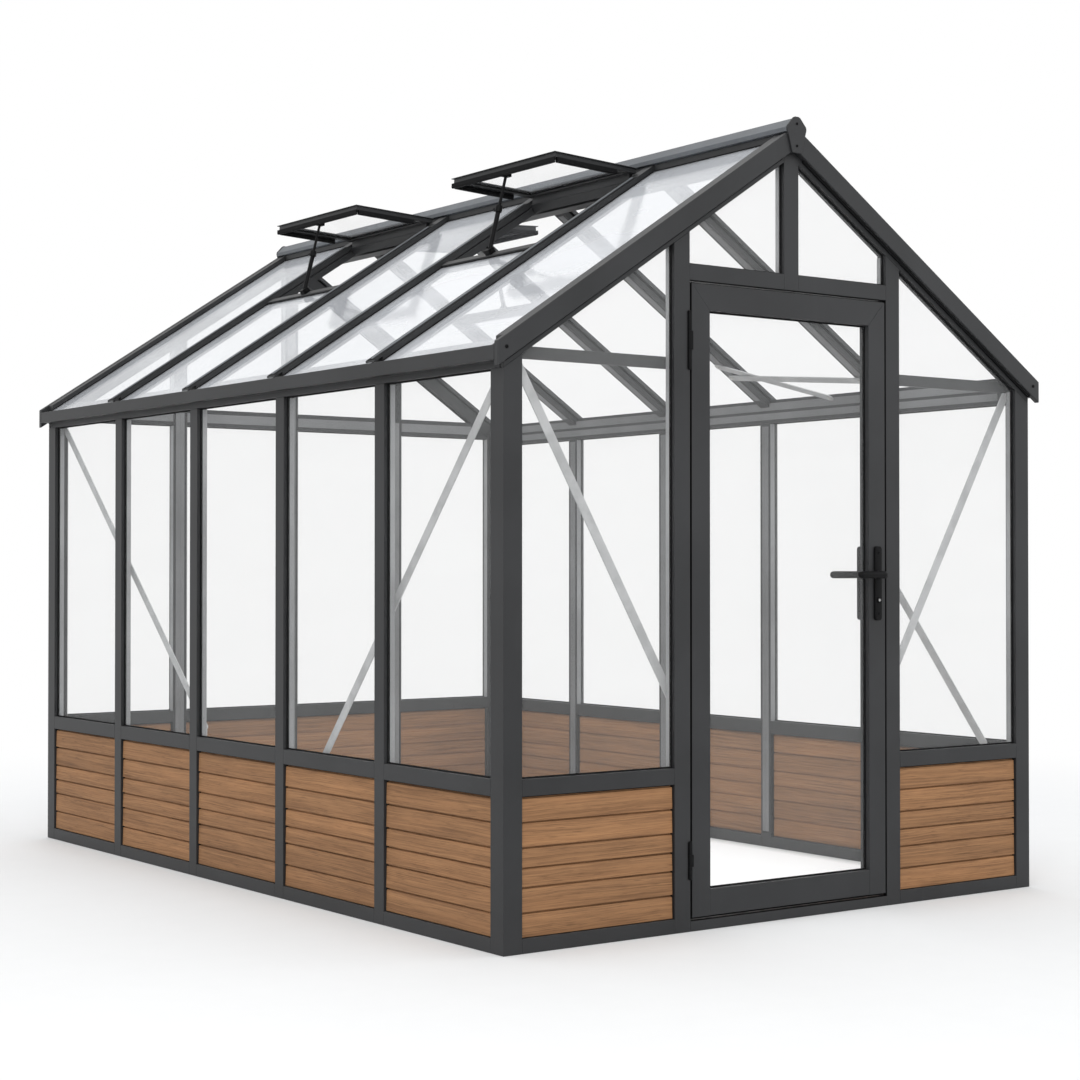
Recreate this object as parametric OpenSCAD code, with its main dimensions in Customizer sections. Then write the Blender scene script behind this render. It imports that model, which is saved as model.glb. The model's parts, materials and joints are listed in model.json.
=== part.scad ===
// Glass greenhouse with a ridge roof, a hinged door and propped roof vents.
// Millimetres. +Z is up, -Y is the door gable, the origin is on the ground at the centre.

/* [Size] */
// Outer width across a gable wall
width = 2160; // [1800:10:2600]
// Number of glazed bays along each side
bays = 5; // [4:1:8]
// Clear width of a side bay, between two posts
bay_clear = 562; // [450:1:700]
// Height of the barge boards' upper edge at the ridge
ridge_z = 2427; // [2250:1:2800]
// Roof pitch in degrees
pitch = 33.2; // [28:0.1:38]

/* [Wall frame] */
// Face width of the corner posts, both ways
corner_w = 64; // [50:1:90]
// Face width of the side posts
post_w = 55; // [40:1:80]
// Face width of the posts beside the doorway
door_post_w = 60; // [45:1:90]
// Face width of the king posts
king_w = 60; // [45:1:90]
// Depth of all wall profiles, outside to inside
depth = 38; // [32:1:60]
// Height of the base rails
base_h = 42; // [30:1:80]
// Underside of the sill rails
sill_z = 436; // [300:1:700]
// Height of the sill rails
sill_h = 48; // [30:1:80]
// Height of the back gable's upper rail
rail_back_h = 66; // [40:1:90]
// Height of the lintel over the door
lintel_h = 48; // [30:1:60]
// Height of the upper gable panes at the door posts
over_pane_h = 96; // [60:1:300]
// Height of the doorway's threshold
threshold_h = 30; // [15:1:40]

/* [Glazing and cladding] */
// Thickness of every pane
glass_t = 4; // [3:0.5:6]
// Depth of the glazing grooves
seat = 8; // [5:0.5:12]
// Distance of the wall panes behind the outer face
glass_in = 15; // [10:1:20]
// Thickness of the cladding panels
clad_t = 16; // [10:1:22]
// Distance of the cladding behind the outer face
clad_in = 9; // [4:1:14]

/* [Roof] */
// Overhang of the eaves beams, which carry the gutter
eaves_over = 33; // [20:1:60]
// Height of the gutter's outer face
gutter_h = 42; // [30:1:60]
// Height of the eaves beams' wall strip below the gutter
strip_h = 19; // [10:1:30]
// Sheet thickness of the gutter
gutter_t = 3; // [2:0.5:5]
// Gutter lip below the barge boards' upper edge
lip_drop = 10; // [8:1:20]
// Depth of the bars' tongues over the gutter
tongue_deep = 8; // [4:0.5:8]
// Overhang of the roof panes into the gutter
pane_over = 10; // [4:1:20]
// Width of the barge boards, square to their length
barge_w = 59; // [40:1:90]
// Thickness of the barge boards
barge_t = 20; // [12:1:30]
// Face width of the roof glazing bars
bar_w = 50; // [35:1:60]
// Bars below the barge boards' upper edge, square to the slope
bar_drop = 2; // [0:0.5:6]
// Roof panes below the barge boards' upper edge, square to the slope
pane_drop = 20; // [12:1:30]
// Depth of the roof bars below the barge boards' upper edge
bar_deep = 48; // [40:1:70]
// Height of the ridge beam
ridge_h = 75; // [60:1:110]
// Half width of the ridge cap
cap_half = 40; // [34:1:60]
// Height of the ridge cap above the ridge beam
cap_h = 48; // [35:1:70]
// Height of the ridge cap's plumb edges
cap_edge = 14; // [8:1:25]
// Rise of the ridge cap's underside towards its edges
cap_rise = 2; // [0:0.5:4]
// Half width of the ridge cap's rounded crown
cap_crown = 14; // [8:1:20]
// Fall of the crown towards its edges
cap_fall = 4; // [2:1:8]
// Thickness of the ridge end caps
cap_end_t = 6; // [4:1:12]
// Length of an end cap's tip below the ridge beam's top
cap_tip = 62; // [40:1:90]
// Half width of an end cap's tip
cap_tip_half = 18; // [8:1:26]

/* [Roof vents] */
// Length of a vent leaf, from its upper rail down
vent_len = 335; // [280:5:460]
// Length of the roof opening, from the leaf's upper rail to the cross bar
vent_open = 450; // [380:5:600]
// Distance of the leaf's upper rail from the ridge cap
vent_set = 35; // [25:1:60]
// Tilt of an open leaf above the horizontal, in degrees
vent_tilt = 3; // [0:0.5:12]
// Width of the leaf's frame members
vent_rail = 30; // [24:1:45]
// Thickness of the leaf's frame
vent_t = 18; // [14:1:30]
// Overlap of the leaf over the roof bars
vent_lap = 10; // [4:1:20]
// Leaf's underside above the roof bars, at its upper rail
vent_sit = 1.5; // [0.5:0.5:5]
// Overhang of the thin cover plate round a leaf
vent_lip = 7; // [3:1:12]
// Thickness of the cover plate
vent_lip_t = 3; // [2:0.5:5]
// Width of the cross bars
vent_sill_w = 30; // [20:1:45]
// Cross bars below the barge boards' upper edge
vent_sill_drop = 12; // [8:1:16]
// Length and width of a stay's brackets
stay_foot = 26; // [18:1:40]
// Height of a stay's brackets
stay_foot_h = 18; // [12:1:30]
// Radius of the stay's tube
stay_r = 8; // [5:0.5:12]
// Radius of the stay's rod
rod_r = 5; // [3:0.5:8]

/* [Door] */
// Width of the door leaf
door_w = 800; // [700:5:900]
// Gap beside the door leaf
door_gap = 7; // [6:0.5:12]
// Gap over the door leaf
door_head_gap = 8; // [6:0.5:14]
// Gap under the door leaf
door_foot_gap = 11; // [6:0.5:16]
// Thickness of the door leaf
door_t = 40; // [30:1:55]
// Width of the door's stiles
stile_w = 70; // [50:1:100]
// Height of the door's top and bottom rails
rail_h = 78; // [50:1:120]
// Distance of the door pane behind the door's face
door_glass_in = 20; // [10:1:26]
// Height of the lever's axis above the ground
lever_z = 1050; // [900:5:1150]
// Length of the lever
lever_l = 122; // [90:1:150]
// Radius of the lever
lever_r = 9; // [7:0.5:11]
// Distance of the lever's outer side from its backplate
lever_out = 46; // [35:1:60]
// Lever's axis off the stile's centre line, towards the lock side
lever_side = 1; // [0:0.5:8]
// Width of the backplates
plate_w = 30; // [24:1:45]
// Thickness of the backplates
plate_d = 8; // [5:0.5:12]
// Backplate above the lever's axis
plate_up = 90; // [40:1:120]
// Backplate below the lever's axis
plate_down = 144; // [100:1:180]
// Lock cylinder below the lever's axis
lock_drop = 80; // [60:1:100]
// Radius of the lock cylinder
lock_r = 8.5; // [7:0.5:10]
// Lock cylinder proud of its backplate
lock_proud = 4; // [2:0.5:6]
// Opening angle of the door, in degrees
door_angle = 0; // [0:1:120]
// Turn of the lever, in degrees
lever_angle = 0; // [0:1:40]

/* [Hinges] */
// Radius of the hinge knuckles
knuckle_r = 5; // [4:0.5:8]
// Radius of the hinge pins
pin_r = 2.4; // [2:0.1:4]
// Height of the upper hinge
hinge_top_h = 168; // [90:1:200]
// Height of the lower hinge
hinge_low_h = 106; // [80:1:200]
// Thickness of the hinge plates
plate_t = 2; // [1.5:0.5:3]
// Depth of the hinge plates from the door's face
hinge_deep = 30; // [20:1:36]
// Hinge axis behind the post's edge
hinge_side = 3; // [2:0.5:5]
// Hinge axis in front of the door's face
hinge_proud = 2; // [1:0.5:4]
// Lower hinge above the door's foot
hinge_low_at = 115; // [60:5:250]
// Upper hinge below the door's head
hinge_top_at = 87; // [60:1:250]

/* [Bracing] */
// Width of the flat brace bars
brace_w = 30; // [20:1:45]
// Thickness of the flat brace bars
brace_t = 4; // [3:0.5:8]
// Height of the gable ties
tie_h = 36; // [20:1:50]
// Thickness of the gable ties
tie_t = 12; // [6:1:20]
// Gable ties and the back gable's upper rail above the side posts' tops
tie_up = 32; // [10:1:45]
// Upper ends of the side braces above the side posts' tops
brace_up = 20; // [-40:1:40]
// Upper ends of the gable braces above the side posts' tops, before they are cut at the ties
gable_brace_up = 70; // [20:1:90]
// Lower ends of the gable braces above the sill rails
gable_brace_rise = 166; // [60:1:500]
// Lower end of the near side brace above the base rails
brace_foot = 137; // [30:1:250]
// Lower end of the far side brace above the sill rails' undersides
far_brace_foot = 70; // [30:1:120]
// Foot of the short brace beside the lock, from the corner post
knee_in = 85; // [40:1:200]
// Foot of the short brace above the sill rails' undersides
knee_foot = 16; // [5:1:30]
// Upper end of the short brace above the sill rails
knee_rise = 647; // [300:1:800]
// Overlap of braces and ties on the posts
brace_lap = 20; // [10:1:24]

/* [Hidden] */
$fn = 48;

hw = width / 2;
length = 2 * corner_w + bays * bay_clear + (bays - 1) * post_w;
hl = length / 2;
c = cos(pitch);
s = sin(pitch);
run_clear = 0.3;
fit_clear = 0.1;
over = 1;
kp = king_w / 2;
in0 = glass_in;
in1 = glass_in + glass_t;
post_in = door_w / 2 + door_gap;
post_out = post_in + door_post_w;
wall_in = hw - corner_w;
back_in = (kp + wall_in - door_post_w) / 2;
back_out = back_in + door_post_w;
barge_v = barge_w / c;
lip_top = roof_z(hw + eaves_over) - lip_drop;
gutter_z = lip_top - gutter_h;
eaves_z = gutter_z - strip_h;
rafter_v = roof_z(hw) - eaves_z;
rail_z = eaves_z + tie_up;
rail_top = rail_z + rail_back_h;
lintel_z = rafter_z(post_in) - over_pane_h - lintel_h;
door_z0 = threshold_h + door_foot_gap;
door_z1 = lintel_z - door_head_gap;
ridge_seat = roof_z(kp) - bar_drop / c;
pane_under = pane_drop + glass_t;
vent_list = [[-1, 2], [-1, bays - 1], [1, bays - 1]];
vent_x = cap_half + vent_set;
vent_z = roof_z(vent_x) - bar_drop / c + vent_sit;
sill_u = vent_x / c + vent_open;
head_u1 = vent_x / c + vent_rail;
sill_u1 = sill_u + vent_sill_w;
sill_top = -vent_sill_drop;
hinge_x = -post_in - hinge_side;
hinge_y = -hl - hinge_proud;
hinge_low_z = door_z0 + hinge_low_at;
hinge_top_z = door_z1 - hinge_top_at - hinge_top_h;
lever_x = door_w / 2 - stile_w / 2 + lever_side;
plate_z0 = lever_z - plate_down;
plate_z1 = lever_z + plate_up;

// Height of the barge boards' upper edge at a distance x from the centre line
function roof_z(x) = ridge_z - tan(pitch) * x;
// Height of the gable rafters' lower edge
function rafter_z(x) = roof_z(x) - rafter_v;
// Height of the gable panes' upper edge, inside the rafters' groove
function pane_top_z(x) = rafter_z(x) + seat / c - fit_clear;
// Height of the roof panes' underside
function under_z(x) = roof_z(x) - pane_under / c;
// Height of the eaves beams' slanted top, just clear of the panes and bars on it
function seat_z(x) = under_z(x) - fit_clear;
// Outline in X and Z of the slot that seats a roof pane between x0 and x1
function pane_slot(x0, x1) = [[x0, under_z(x0) - fit_clear], [x1, under_z(x1) - fit_clear],
    [x1, under_z(x1) + glass_t / c + fit_clear], [x0, under_z(x0) + glass_t / c + fit_clear]];
// Near edge of side post n
function post_y(n) = -hl + corner_w + n * bay_clear + (n - 1) * post_w;
// Near edge of clear bay n
function bay_y(n) = -hl + corner_w + (n - 1) * (bay_clear + post_w);
// Near edge of roof bar n
function bar_y(n) = post_y(n) + (post_w - bar_w) / 2;
// Clear roof opening of bay n, between the bars
function open_y0(n) = n == 1 ? -hl + depth : bar_y(n - 1) + bar_w;
function open_y1(n) = n == bays ? hl - depth : bar_y(n);
// True when bay n of a slope (-1 left, 1 right) has a vent
function has_vent(side, n) = len([for (v = vent_list) if (v[0] == side && v[1] == n) 1]) > 0;

module box(x0, x1, y0, y1, z0, z1) {
    translate([x0, y0, z0]) cube([x1 - x0, y1 - y0, z1 - z0]);
}

// A polygon in X and Z, extruded along +Y from y0
module plate_xz(points, y0, t) {
    translate([0, y0 + t, 0]) rotate([90, 0, 0]) linear_extrude(t) polygon(points);
}

// A polygon in X and Z, extruded along the whole length from y0 to y1
module run_y(points, y0, y1) {
    plate_xz(points, y0, y1 - y0);
}

module both_sides() {
    children();
    mirror([1, 0, 0]) children();
}

module both_ends() {
    children();
    mirror([0, 1, 0]) children();
}

// Local frame of the right slope: x runs down the slope from the ridge, z is square to it
module on_slope() {
    translate([0, 0, ridge_z]) rotate([0, pitch, 0]) children();
}

// Local frame of an open vent leaf on the right slope
module on_leaf() {
    translate([vent_x, 0, vent_z]) rotate([0, -vent_tilt, 0]) children();
}

module side(sign) {
    if (sign > 0) children();
    else mirror([1, 0, 0]) children();
}

// The door's frame of reference, turned by the opening angle
module on_door() {
    translate([hinge_x, hinge_y, 0]) rotate([0, 0, -door_angle])
        translate([-hinge_x, -hinge_y, 0]) children();
}

// Extruded side post with a glazing groove in both flanks
module side_post(n) {
    y0 = post_y(n);
    y1 = y0 + post_w;
    linear_extrude(eaves_z) polygon([
        [hw, y0], [hw, y1], [hw - in0, y1], [hw - in0, y1 - seat], [hw - in1, y1 - seat], [hw - in1, y1],
        [hw - depth, y1], [hw - depth, y0], [hw - in1, y0], [hw - in1, y0 + seat], [hw - in0, y0 + seat],
        [hw - in0, y0]]);
}

// Angle-shaped corner post, its front leg carried up to the gable rafter
module corner_post() {
    w = corner_w;
    d = depth;
    difference() {
        union() {
            translate([hw, -hl, 0]) mirror([1, 0, 0]) linear_extrude(eaves_z) polygon([
                [0, 0], [w, 0], [w, d], [d, d], [d, w], [in1, w], [in1, w - seat], [in0, w - seat],
                [in0, w], [0, w]]);
            plate_xz([[hw - w, eaves_z], [hw, eaves_z], [hw - w, rafter_z(hw - w) - fit_clear]], -hl, d);
        }
        box(hw - w - over, hw - w + seat, -hl + in0, -hl + in1, -over, ridge_z);
    }
}

// Rail between two posts of a gable wall with a groove in its upper face
module gable_rail(x0, x1, z0, h, groove) {
    difference() {
        box(x0, x1, -hl, -hl + depth, z0, z0 + h);
        if (groove) box(x0 - over, x1 + over, -hl + in0, -hl + in1, z0 + h - seat, z0 + h + over);
    }
}

module side_rail(n, z0, h, groove) {
    y0 = bay_y(n);
    y1 = y0 + bay_clear;
    difference() {
        box(hw - depth, hw, y0, y1, z0, z0 + h);
        if (groove) box(hw - in1, hw - in0, y0 - over, y1 + over, z0 + h - seat, z0 + h + over);
    }
}

// Gable post between x0 and x1, cut to the rafter at its top; its inner groove starts at inner_z
module gable_post(x0, x1, inner_z) {
    difference() {
        plate_xz([[x0, 0], [x1, 0], [x1, rafter_z(x1) - fit_clear], [x0, rafter_z(x0) - fit_clear]],
            -hl, depth);
        box(x1 - seat, x1 + over, -hl + in0, -hl + in1, sill_z, ridge_z);
        box(x0 - over, x0 + seat, -hl + in0, -hl + in1, inner_z, ridge_z);
    }
}

module base_front() {
    color("dimgray") both_sides() gable_rail(post_out, wall_in, 0, base_h, false);
}

module threshold() {
    color("dimgray") box(-post_in, post_in, -hl, -hl + depth, 0, threshold_h);
}

module base_sides() {
    color("dimgray") both_sides() for (n = [1:bays]) side_rail(n, 0, base_h, false);
}

module base_back() {
    color("dimgray") mirror([0, 1, 0]) both_sides() {
        gable_rail(kp, back_in, 0, base_h, false);
        gable_rail(back_out, wall_in, 0, base_h, false);
    }
}

module corner_posts() {
    color("dimgray") both_ends() both_sides() corner_post();
}

module posts_left() {
    color("dimgray") mirror([1, 0, 0]) for (n = [1:bays - 1]) side_post(n);
}

module posts_right() {
    color("dimgray") for (n = [1:bays - 1]) side_post(n);
}

module posts_back() {
    color("dimgray") mirror([0, 1, 0]) {
        both_sides() gable_post(back_in, back_out, sill_z);
        king_post(0, sill_z);
    }
}

// The left door post is notched for the hinge knuckles
module door_posts() {
    color("dimgray") difference() {
        both_sides() gable_post(post_in, post_out, lintel_z);
        for (h = [[hinge_low_z, hinge_low_h], [hinge_top_z, hinge_top_h]])
            box(hinge_x - knuckle_r - over, -post_in + over, -hl - over, hinge_y + knuckle_r + over,
                h[0] - over, h[0] + h[1] + over);
    }
}

module sill_front() {
    color("dimgray") both_sides() gable_rail(post_out, wall_in, sill_z, sill_h, true);
}

module sill_sides() {
    color("dimgray") both_sides() for (n = [1:bays]) side_rail(n, sill_z, sill_h, true);
}

module sill_back() {
    color("dimgray") mirror([0, 1, 0]) both_sides() {
        gable_rail(kp, back_in, sill_z, sill_h, true);
        gable_rail(back_out, wall_in, sill_z, sill_h, true);
    }
}

// Upper rail of the back gable, grooved above and below, its ends cut to the rafters
module rail_back() {
    color("dimgray") mirror([0, 1, 0]) both_sides() difference() {
        union() {
            gable_rail(kp, back_in, rail_z, rail_back_h, true);
            gable_rail(back_out, wall_in, rail_z, rail_back_h, true);
        }
        box(kp - over, wall_in + over, -hl + in0, -hl + in1, rail_z - over, rail_z + seat);
        run_y([[back_out, rafter_z(back_out) - fit_clear], [hw, rafter_z(hw) - fit_clear],
            [hw, ridge_z], [back_out, ridge_z]], -hl - over, -hl + depth + over);
    }
}

// The lintel is in two lengths that butt against the king post
module lintels() {
    color("dimgray") both_sides() gable_rail(kp, post_in, lintel_z, lintel_h, true);
}

// Post under the ridge from z0, its grooves starting at groove_z
module king_post(z0, groove_z) {
    difference() {
        box(-kp, kp, -hl, -hl + depth, z0, ridge_seat);
        both_sides() box(kp - seat, kp + over, -hl + in0, -hl + in1, groove_z, ridge_seat + over);
        both_sides() run_y(pane_slot(kp - seat, kp + over), -hl + depth - seat, -hl + depth + over);
    }
}

module king_post_front() {
    color("dimgray") king_post(lintel_z, lintel_z);
}

// Gable rafter, grooved below for the gable panes and inside for the first roof pane
module gable_rafter() {
    difference() {
        plate_xz([[kp, ridge_seat], [hw, roof_z(hw) - bar_drop / c],
            [hw, rafter_z(hw)], [kp, rafter_z(kp)]], -hl, depth);
        run_y([[kp - over, rafter_z(kp - over) - over], [hw + over, rafter_z(hw + over) - over],
            [hw + over, rafter_z(hw + over) + seat / c], [kp - over, rafter_z(kp - over) + seat / c]],
            -hl + in0, -hl + in1);
        run_y(pane_slot(kp - over, hw + over), -hl + depth - seat, -hl + depth + over);
    }
}

module gable_rafters() {
    color("dimgray") both_ends() both_sides() gable_rafter();
}

// Barge boards, cut level at the ridge to carry the ridge cap
module barge_boards() {
    x0 = run_clear;
    x1 = hw + eaves_over;
    xn = (ridge_z - ridge_seat) / tan(pitch);
    color("dimgray") both_ends() both_sides()
        plate_xz([[x0, ridge_seat], [xn, ridge_seat], [x1, roof_z(x1)], [x1, roof_z(x1) - barge_v],
            [x0, roof_z(x0) - barge_v]], -hl - barge_t, barge_t);
}

// Eaves beam with its gutter: the wall strip fits between the gable rafters
module eaves_beam() {
    t = gutter_t;
    xo = hw + eaves_over;
    gutter = [[hw, gutter_z], [xo, gutter_z], [xo, lip_top], [xo - t, lip_top], [xo - t, gutter_z + t],
        [hw + t, gutter_z + t], [hw + t, seat_z(hw + t)]];
    run_y(concat([[hw - depth, seat_z(hw - depth)], [hw - depth, eaves_z], [hw - in1, eaves_z],
        [hw - in1, eaves_z + seat], [hw - in0, eaves_z + seat], [hw - in0, eaves_z], [hw, eaves_z]],
        gutter), -hl + depth, hl - depth);
    both_ends() run_y(concat(gutter, [[hw, seat_z(hw)]]), -hl, -hl + depth);
}

module eaves_beams() {
    color("dimgray") both_sides() eaves_beam();
}

// Ridge beam with a slanted groove in each flank for the roof panes
module ridge_beam() {
    color("dimgray") difference() {
        box(-kp, kp, -hl + depth, hl - depth, ridge_seat - ridge_h, ridge_seat);
        both_sides() run_y(pane_slot(kp - seat, kp + over), -hl, hl);
    }
}

module ridge_cap() {
    z = ridge_seat;
    w = cap_half;
    e = z + cap_rise;
    f = e + cap_edge;
    r = cap_crown;
    top = z + cap_h;
    color("dimgray") run_y([[-w, e], [-kp, z], [kp, z], [w, e], [w, f], [r, top - cap_fall],
        [0, top], [-r, top - cap_fall], [-w, f]], -hl - barge_t, hl + barge_t);
}

// Shield-shaped plate that closes the ridge at each end
module ridge_ends() {
    z = ridge_seat;
    w = cap_half;
    e = z + cap_edge;
    r = cap_crown;
    t = cap_tip_half;
    f = cap_edge / 2;
    top = z + cap_h;
    half = [[t, z - cap_tip], [w - over, e - f], [w, e], [w - 2 * over, e + f], [r, top - over],
        [r / 2, top + cap_fall / 2]];
    other = [for (i = [len(half) - 1:-1:0]) [-half[i][0], half[i][1]]];
    color("dimgray") both_ends()
        plate_xz(concat(half, other), -hl - barge_t - cap_end_t, cap_end_t);
}

// Glazing bar of the right slope: housed on the eaves beam, with a tongue over the gutter
module roof_bar(n) {
    y0 = bar_y(n);
    y1 = y0 + bar_w;
    p0 = -pane_drop;
    p1 = -pane_under;
    xe = hw + eaves_over;
    xg = hw + gutter_t;
    difference() {
        on_slope() rotate([90, 0, 90]) linear_extrude((xe + bar_deep) / c) polygon([
            [y0, -bar_drop], [y0, p0], [y0 + seat, p0], [y0 + seat, p1], [y0, p1], [y0, -bar_deep],
            [y1, -bar_deep], [y1, p1], [y1 - seat, p1], [y1 - seat, p0], [y1, p0], [y1, -bar_drop]]);
        box(-hw, kp, y0 - over, y1 + over, 0, 2 * ridge_z);
        box(xe, xe + hw, y0 - over, y1 + over, 0, 2 * ridge_z);
        run_y([[hw - depth, under_z(hw - depth)], [xg, under_z(xg)], [xg, roof_z(xg) - tongue_deep / c],
            [xe + over, roof_z(xe + over) - tongue_deep / c], [xe + over, 0], [hw - depth, 0]],
            y0 - over, y1 + over);
    }
}

module roof_bars_left() {
    color("dimgray") mirror([1, 0, 0]) for (n = [1:bays - 1]) roof_bar(n);
}

module roof_bars_right() {
    color("dimgray") for (n = [1:bays - 1]) roof_bar(n);
}

// Cross bars of each opening: a head under the leaf, and a sill grooved for the pane below it
module vent_sills() {
    color("dimgray") for (v = vent_list) side(v[0]) {
        y0 = open_y0(v[1]);
        y1 = open_y1(v[1]);
        difference() {
            on_slope() box(0, head_u1, y0, y1, brace_t - bar_deep, sill_top);
            box(-hw, kp, -hl, hl, 0, 2 * ridge_z);
        }
        on_slope() difference() {
            box(sill_u, sill_u1, y0, y1, brace_t - bar_deep, sill_top);
            box(sill_u1 - seat, sill_u1 + over, y0 - over, y1 + over, -pane_under, -pane_drop);
        }
    }
}

// Pane of an open leaf, in the leaf's frame
module leaf_pane(n) {
    y0 = open_y0(n) - vent_lap + vent_rail - seat;
    y1 = open_y1(n) + vent_lap - vent_rail + seat;
    z0 = (vent_t - glass_t) / 2;
    box(vent_rail - seat, vent_len - vent_rail + seat, y0, y1, z0, z0 + glass_t);
}

// Leaf frames with a thin cover plate that laps over the frame, and a hinge strip on the head bar
module vent_frames() {
    color("dimgray") for (v = vent_list) side(v[0]) {
        y0 = open_y0(v[1]) - vent_lap;
        y1 = open_y1(v[1]) + vent_lap;
        r = vent_rail;
        on_leaf() difference() {
            union() {
                box(0, vent_len, y0, y1, 0, vent_t);
                box(0, vent_len + vent_lip, y0 - vent_lip, y1 + vent_lip, vent_t - vent_lip_t, vent_t);
            }
            box(r, vent_len - r, y0 + r, y1 - r, -over, vent_t + over);
            leaf_pane(v[1]);
        }
        difference() {
            on_leaf() box(0, r / 2, y0 + 2 * vent_lap, y1 - 2 * vent_lap, -vent_sill_drop - r, 0);
            on_slope() box(0, hw, y0, y1, -2 * bar_deep - r, sill_top + fit_clear);
        }
    }
}

module vent_glass() {
    color("lightblue", 0.4) for (v = vent_list) side(v[0]) on_leaf() leaf_pane(v[1]);
}

// Telescopic stay: its foot stands on the cross bar, its head is under the leaf's outer rail
module vent_stays() {
    f = stay_foot / 2;
    h = stay_foot_h;
    u0 = sill_u + vent_sill_w / 2;
    fx = u0 * c + (sill_top + h / 2) * s;
    fz = ridge_z - u0 * s + (sill_top + h / 2) * c;
    u1 = vent_len - vent_rail / 2;
    tx = vent_x + u1 * cos(vent_tilt) + h / 2 * sin(vent_tilt);
    tz = vent_z + u1 * sin(vent_tilt) - h / 2 * cos(vent_tilt);
    run = sqrt(pow(tx - fx, 2) + pow(tz - fz, 2));
    lean = atan2(tx - fx, tz - fz);
    color("dimgray") for (v = vent_list) side(v[0]) {
        y = (open_y0(v[1]) + open_y1(v[1])) / 2;
        on_slope() box(u0 - f, u0 + f, y - f, y + f, sill_top, sill_top + h);
        on_leaf() box(u1 - f, u1 + f, y - f, y + f, -h, 0);
        translate([fx, y, fz]) rotate([0, lean, 0]) {
            cylinder(h = run * 0.55, r = stay_r);
            cylinder(h = run, r = rod_r);
        }
    }
}

module side_panes() {
    for (n = [1:bays])
        box(hw - in1, hw - in0, bay_y(n) - seat, bay_y(n) + bay_clear + seat,
            sill_z + sill_h - seat, eaves_z + seat);
}

module glass_left() {
    color("lightblue", 0.4) mirror([1, 0, 0]) side_panes();
}

module glass_right() {
    color("lightblue", 0.4) side_panes();
}

// Gable pane between x0 and x1, its top seated in the rafter's groove
module gable_pane(x0, x1, z0) {
    plate_xz([[x0, z0], [x1, z0], [x1, pane_top_z(x1)], [x0, pane_top_z(x0)]], -hl + in0, glass_t);
}

module glass_front() {
    color("lightblue", 0.4) both_sides() {
        gable_pane(post_out - seat, wall_in + seat, sill_z + sill_h - seat);
        gable_pane(kp - seat, post_in + seat, lintel_z + lintel_h - seat);
    }
}

// Panes of the back gable, in two rows: the outer upper panes are triangles
module glass_back() {
    x0 = back_out - seat;
    z0 = rail_top - seat;
    x1 = x0 + (pane_top_z(x0) - z0) / tan(pitch);
    color("lightblue", 0.4) mirror([0, 1, 0]) both_sides() {
        for (x = [[kp, back_in], [back_out, wall_in]])
            box(x[0] - seat, x[1] + seat, -hl + in0, -hl + in1, sill_z + sill_h - seat, rail_z + seat);
        gable_pane(kp - seat, back_in + seat, z0);
        plate_xz([[x0, z0], [x1, z0], [x0, pane_top_z(x0)]], -hl + in0, glass_t);
    }
}

// Roof panes of the right slope: a bay with a vent has a pane below its cross bar only
module roof_panes(sign) {
    top = (kp - seat + run_clear + pane_under * s) / c;
    low = (hw + pane_over + pane_under * s) / c;
    for (n = [1:bays])
        on_slope() box(has_vent(sign, n) ? sill_u1 - seat : top, low,
            open_y0(n) - seat, open_y1(n) + seat, -pane_under, -pane_drop);
}

module glass_roof_left() {
    color("lightblue", 0.4) mirror([1, 0, 0]) roof_panes(-1);
}

module glass_roof_right() {
    color("lightblue", 0.4) roof_panes(1);
}

module cladding_sides() {
    color("peru") both_sides() for (n = [1:bays])
        box(hw - clad_in - clad_t, hw - clad_in, bay_y(n), bay_y(n) + bay_clear, base_h, sill_z);
}

module gable_cladding(x0, x1) {
    box(x0, x1, -hl + clad_in, -hl + clad_in + clad_t, base_h, sill_z);
}

module cladding_front() {
    color("peru") both_sides() gable_cladding(post_out, wall_in);
}

module cladding_back() {
    color("peru") mirror([0, 1, 0]) both_sides() {
        gable_cladding(kp, back_in);
        gable_cladding(back_out, wall_in);
    }
}

// Flat bar between two points (along, z) of a wall's inner face, with plumb ends
module brace_line(a0, z0, a1, z1) {
    h = brace_w / 2 / cos(atan2(abs(z1 - z0), abs(a1 - a0)));
    polygon([[a0, z0 - h], [a0, z0 + h], [a1, z1 + h], [a1, z1 - h]]);
}

module side_brace(y0, z0, y1, z1) {
    translate([hw - depth - brace_t, 0, 0]) rotate([90, 0, 90]) linear_extrude(brace_t)
        brace_line(y0, z0, y1, z1);
}

// Gable brace, cut level under the tie
module gable_brace(x0, z0, x1, z1) {
    translate([0, -hl + depth + brace_t, 0]) rotate([90, 0, 0]) linear_extrude(brace_t)
        intersection() {
            brace_line(x0, z0, x1, z1);
            square([x1, rail_z]);
        }
}

// Long braces in the left wall, a short one beside the door's lock and one in each front pane
module braces() {
    top = eaves_z + brace_up;
    end = hl - corner_w + brace_lap;
    sill_top_z = sill_z + sill_h;
    color("silver") {
        mirror([1, 0, 0]) {
            side_brace(-end, top, post_y(2) + post_w, base_h + brace_foot);
            side_brace(end, top, post_y(bays - 2), sill_z + far_brace_foot);
        }
        side_brace(bay_y(1) + knee_in, sill_z + knee_foot, post_y(1) + post_w, sill_top_z + knee_rise);
        both_sides() gable_brace(post_out - 2 * brace_lap, sill_top_z + gable_brace_rise,
            wall_in + brace_lap, eaves_z + gable_brace_up);
    }
}

// Ties of the front gable at eaves height, behind the posts
module tie_bars() {
    color("dimgray") both_sides() box(post_out - 2 * brace_lap, wall_in + brace_lap, -hl + depth,
        -hl + depth + tie_t, rail_z, rail_z + tie_h);
}

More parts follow.
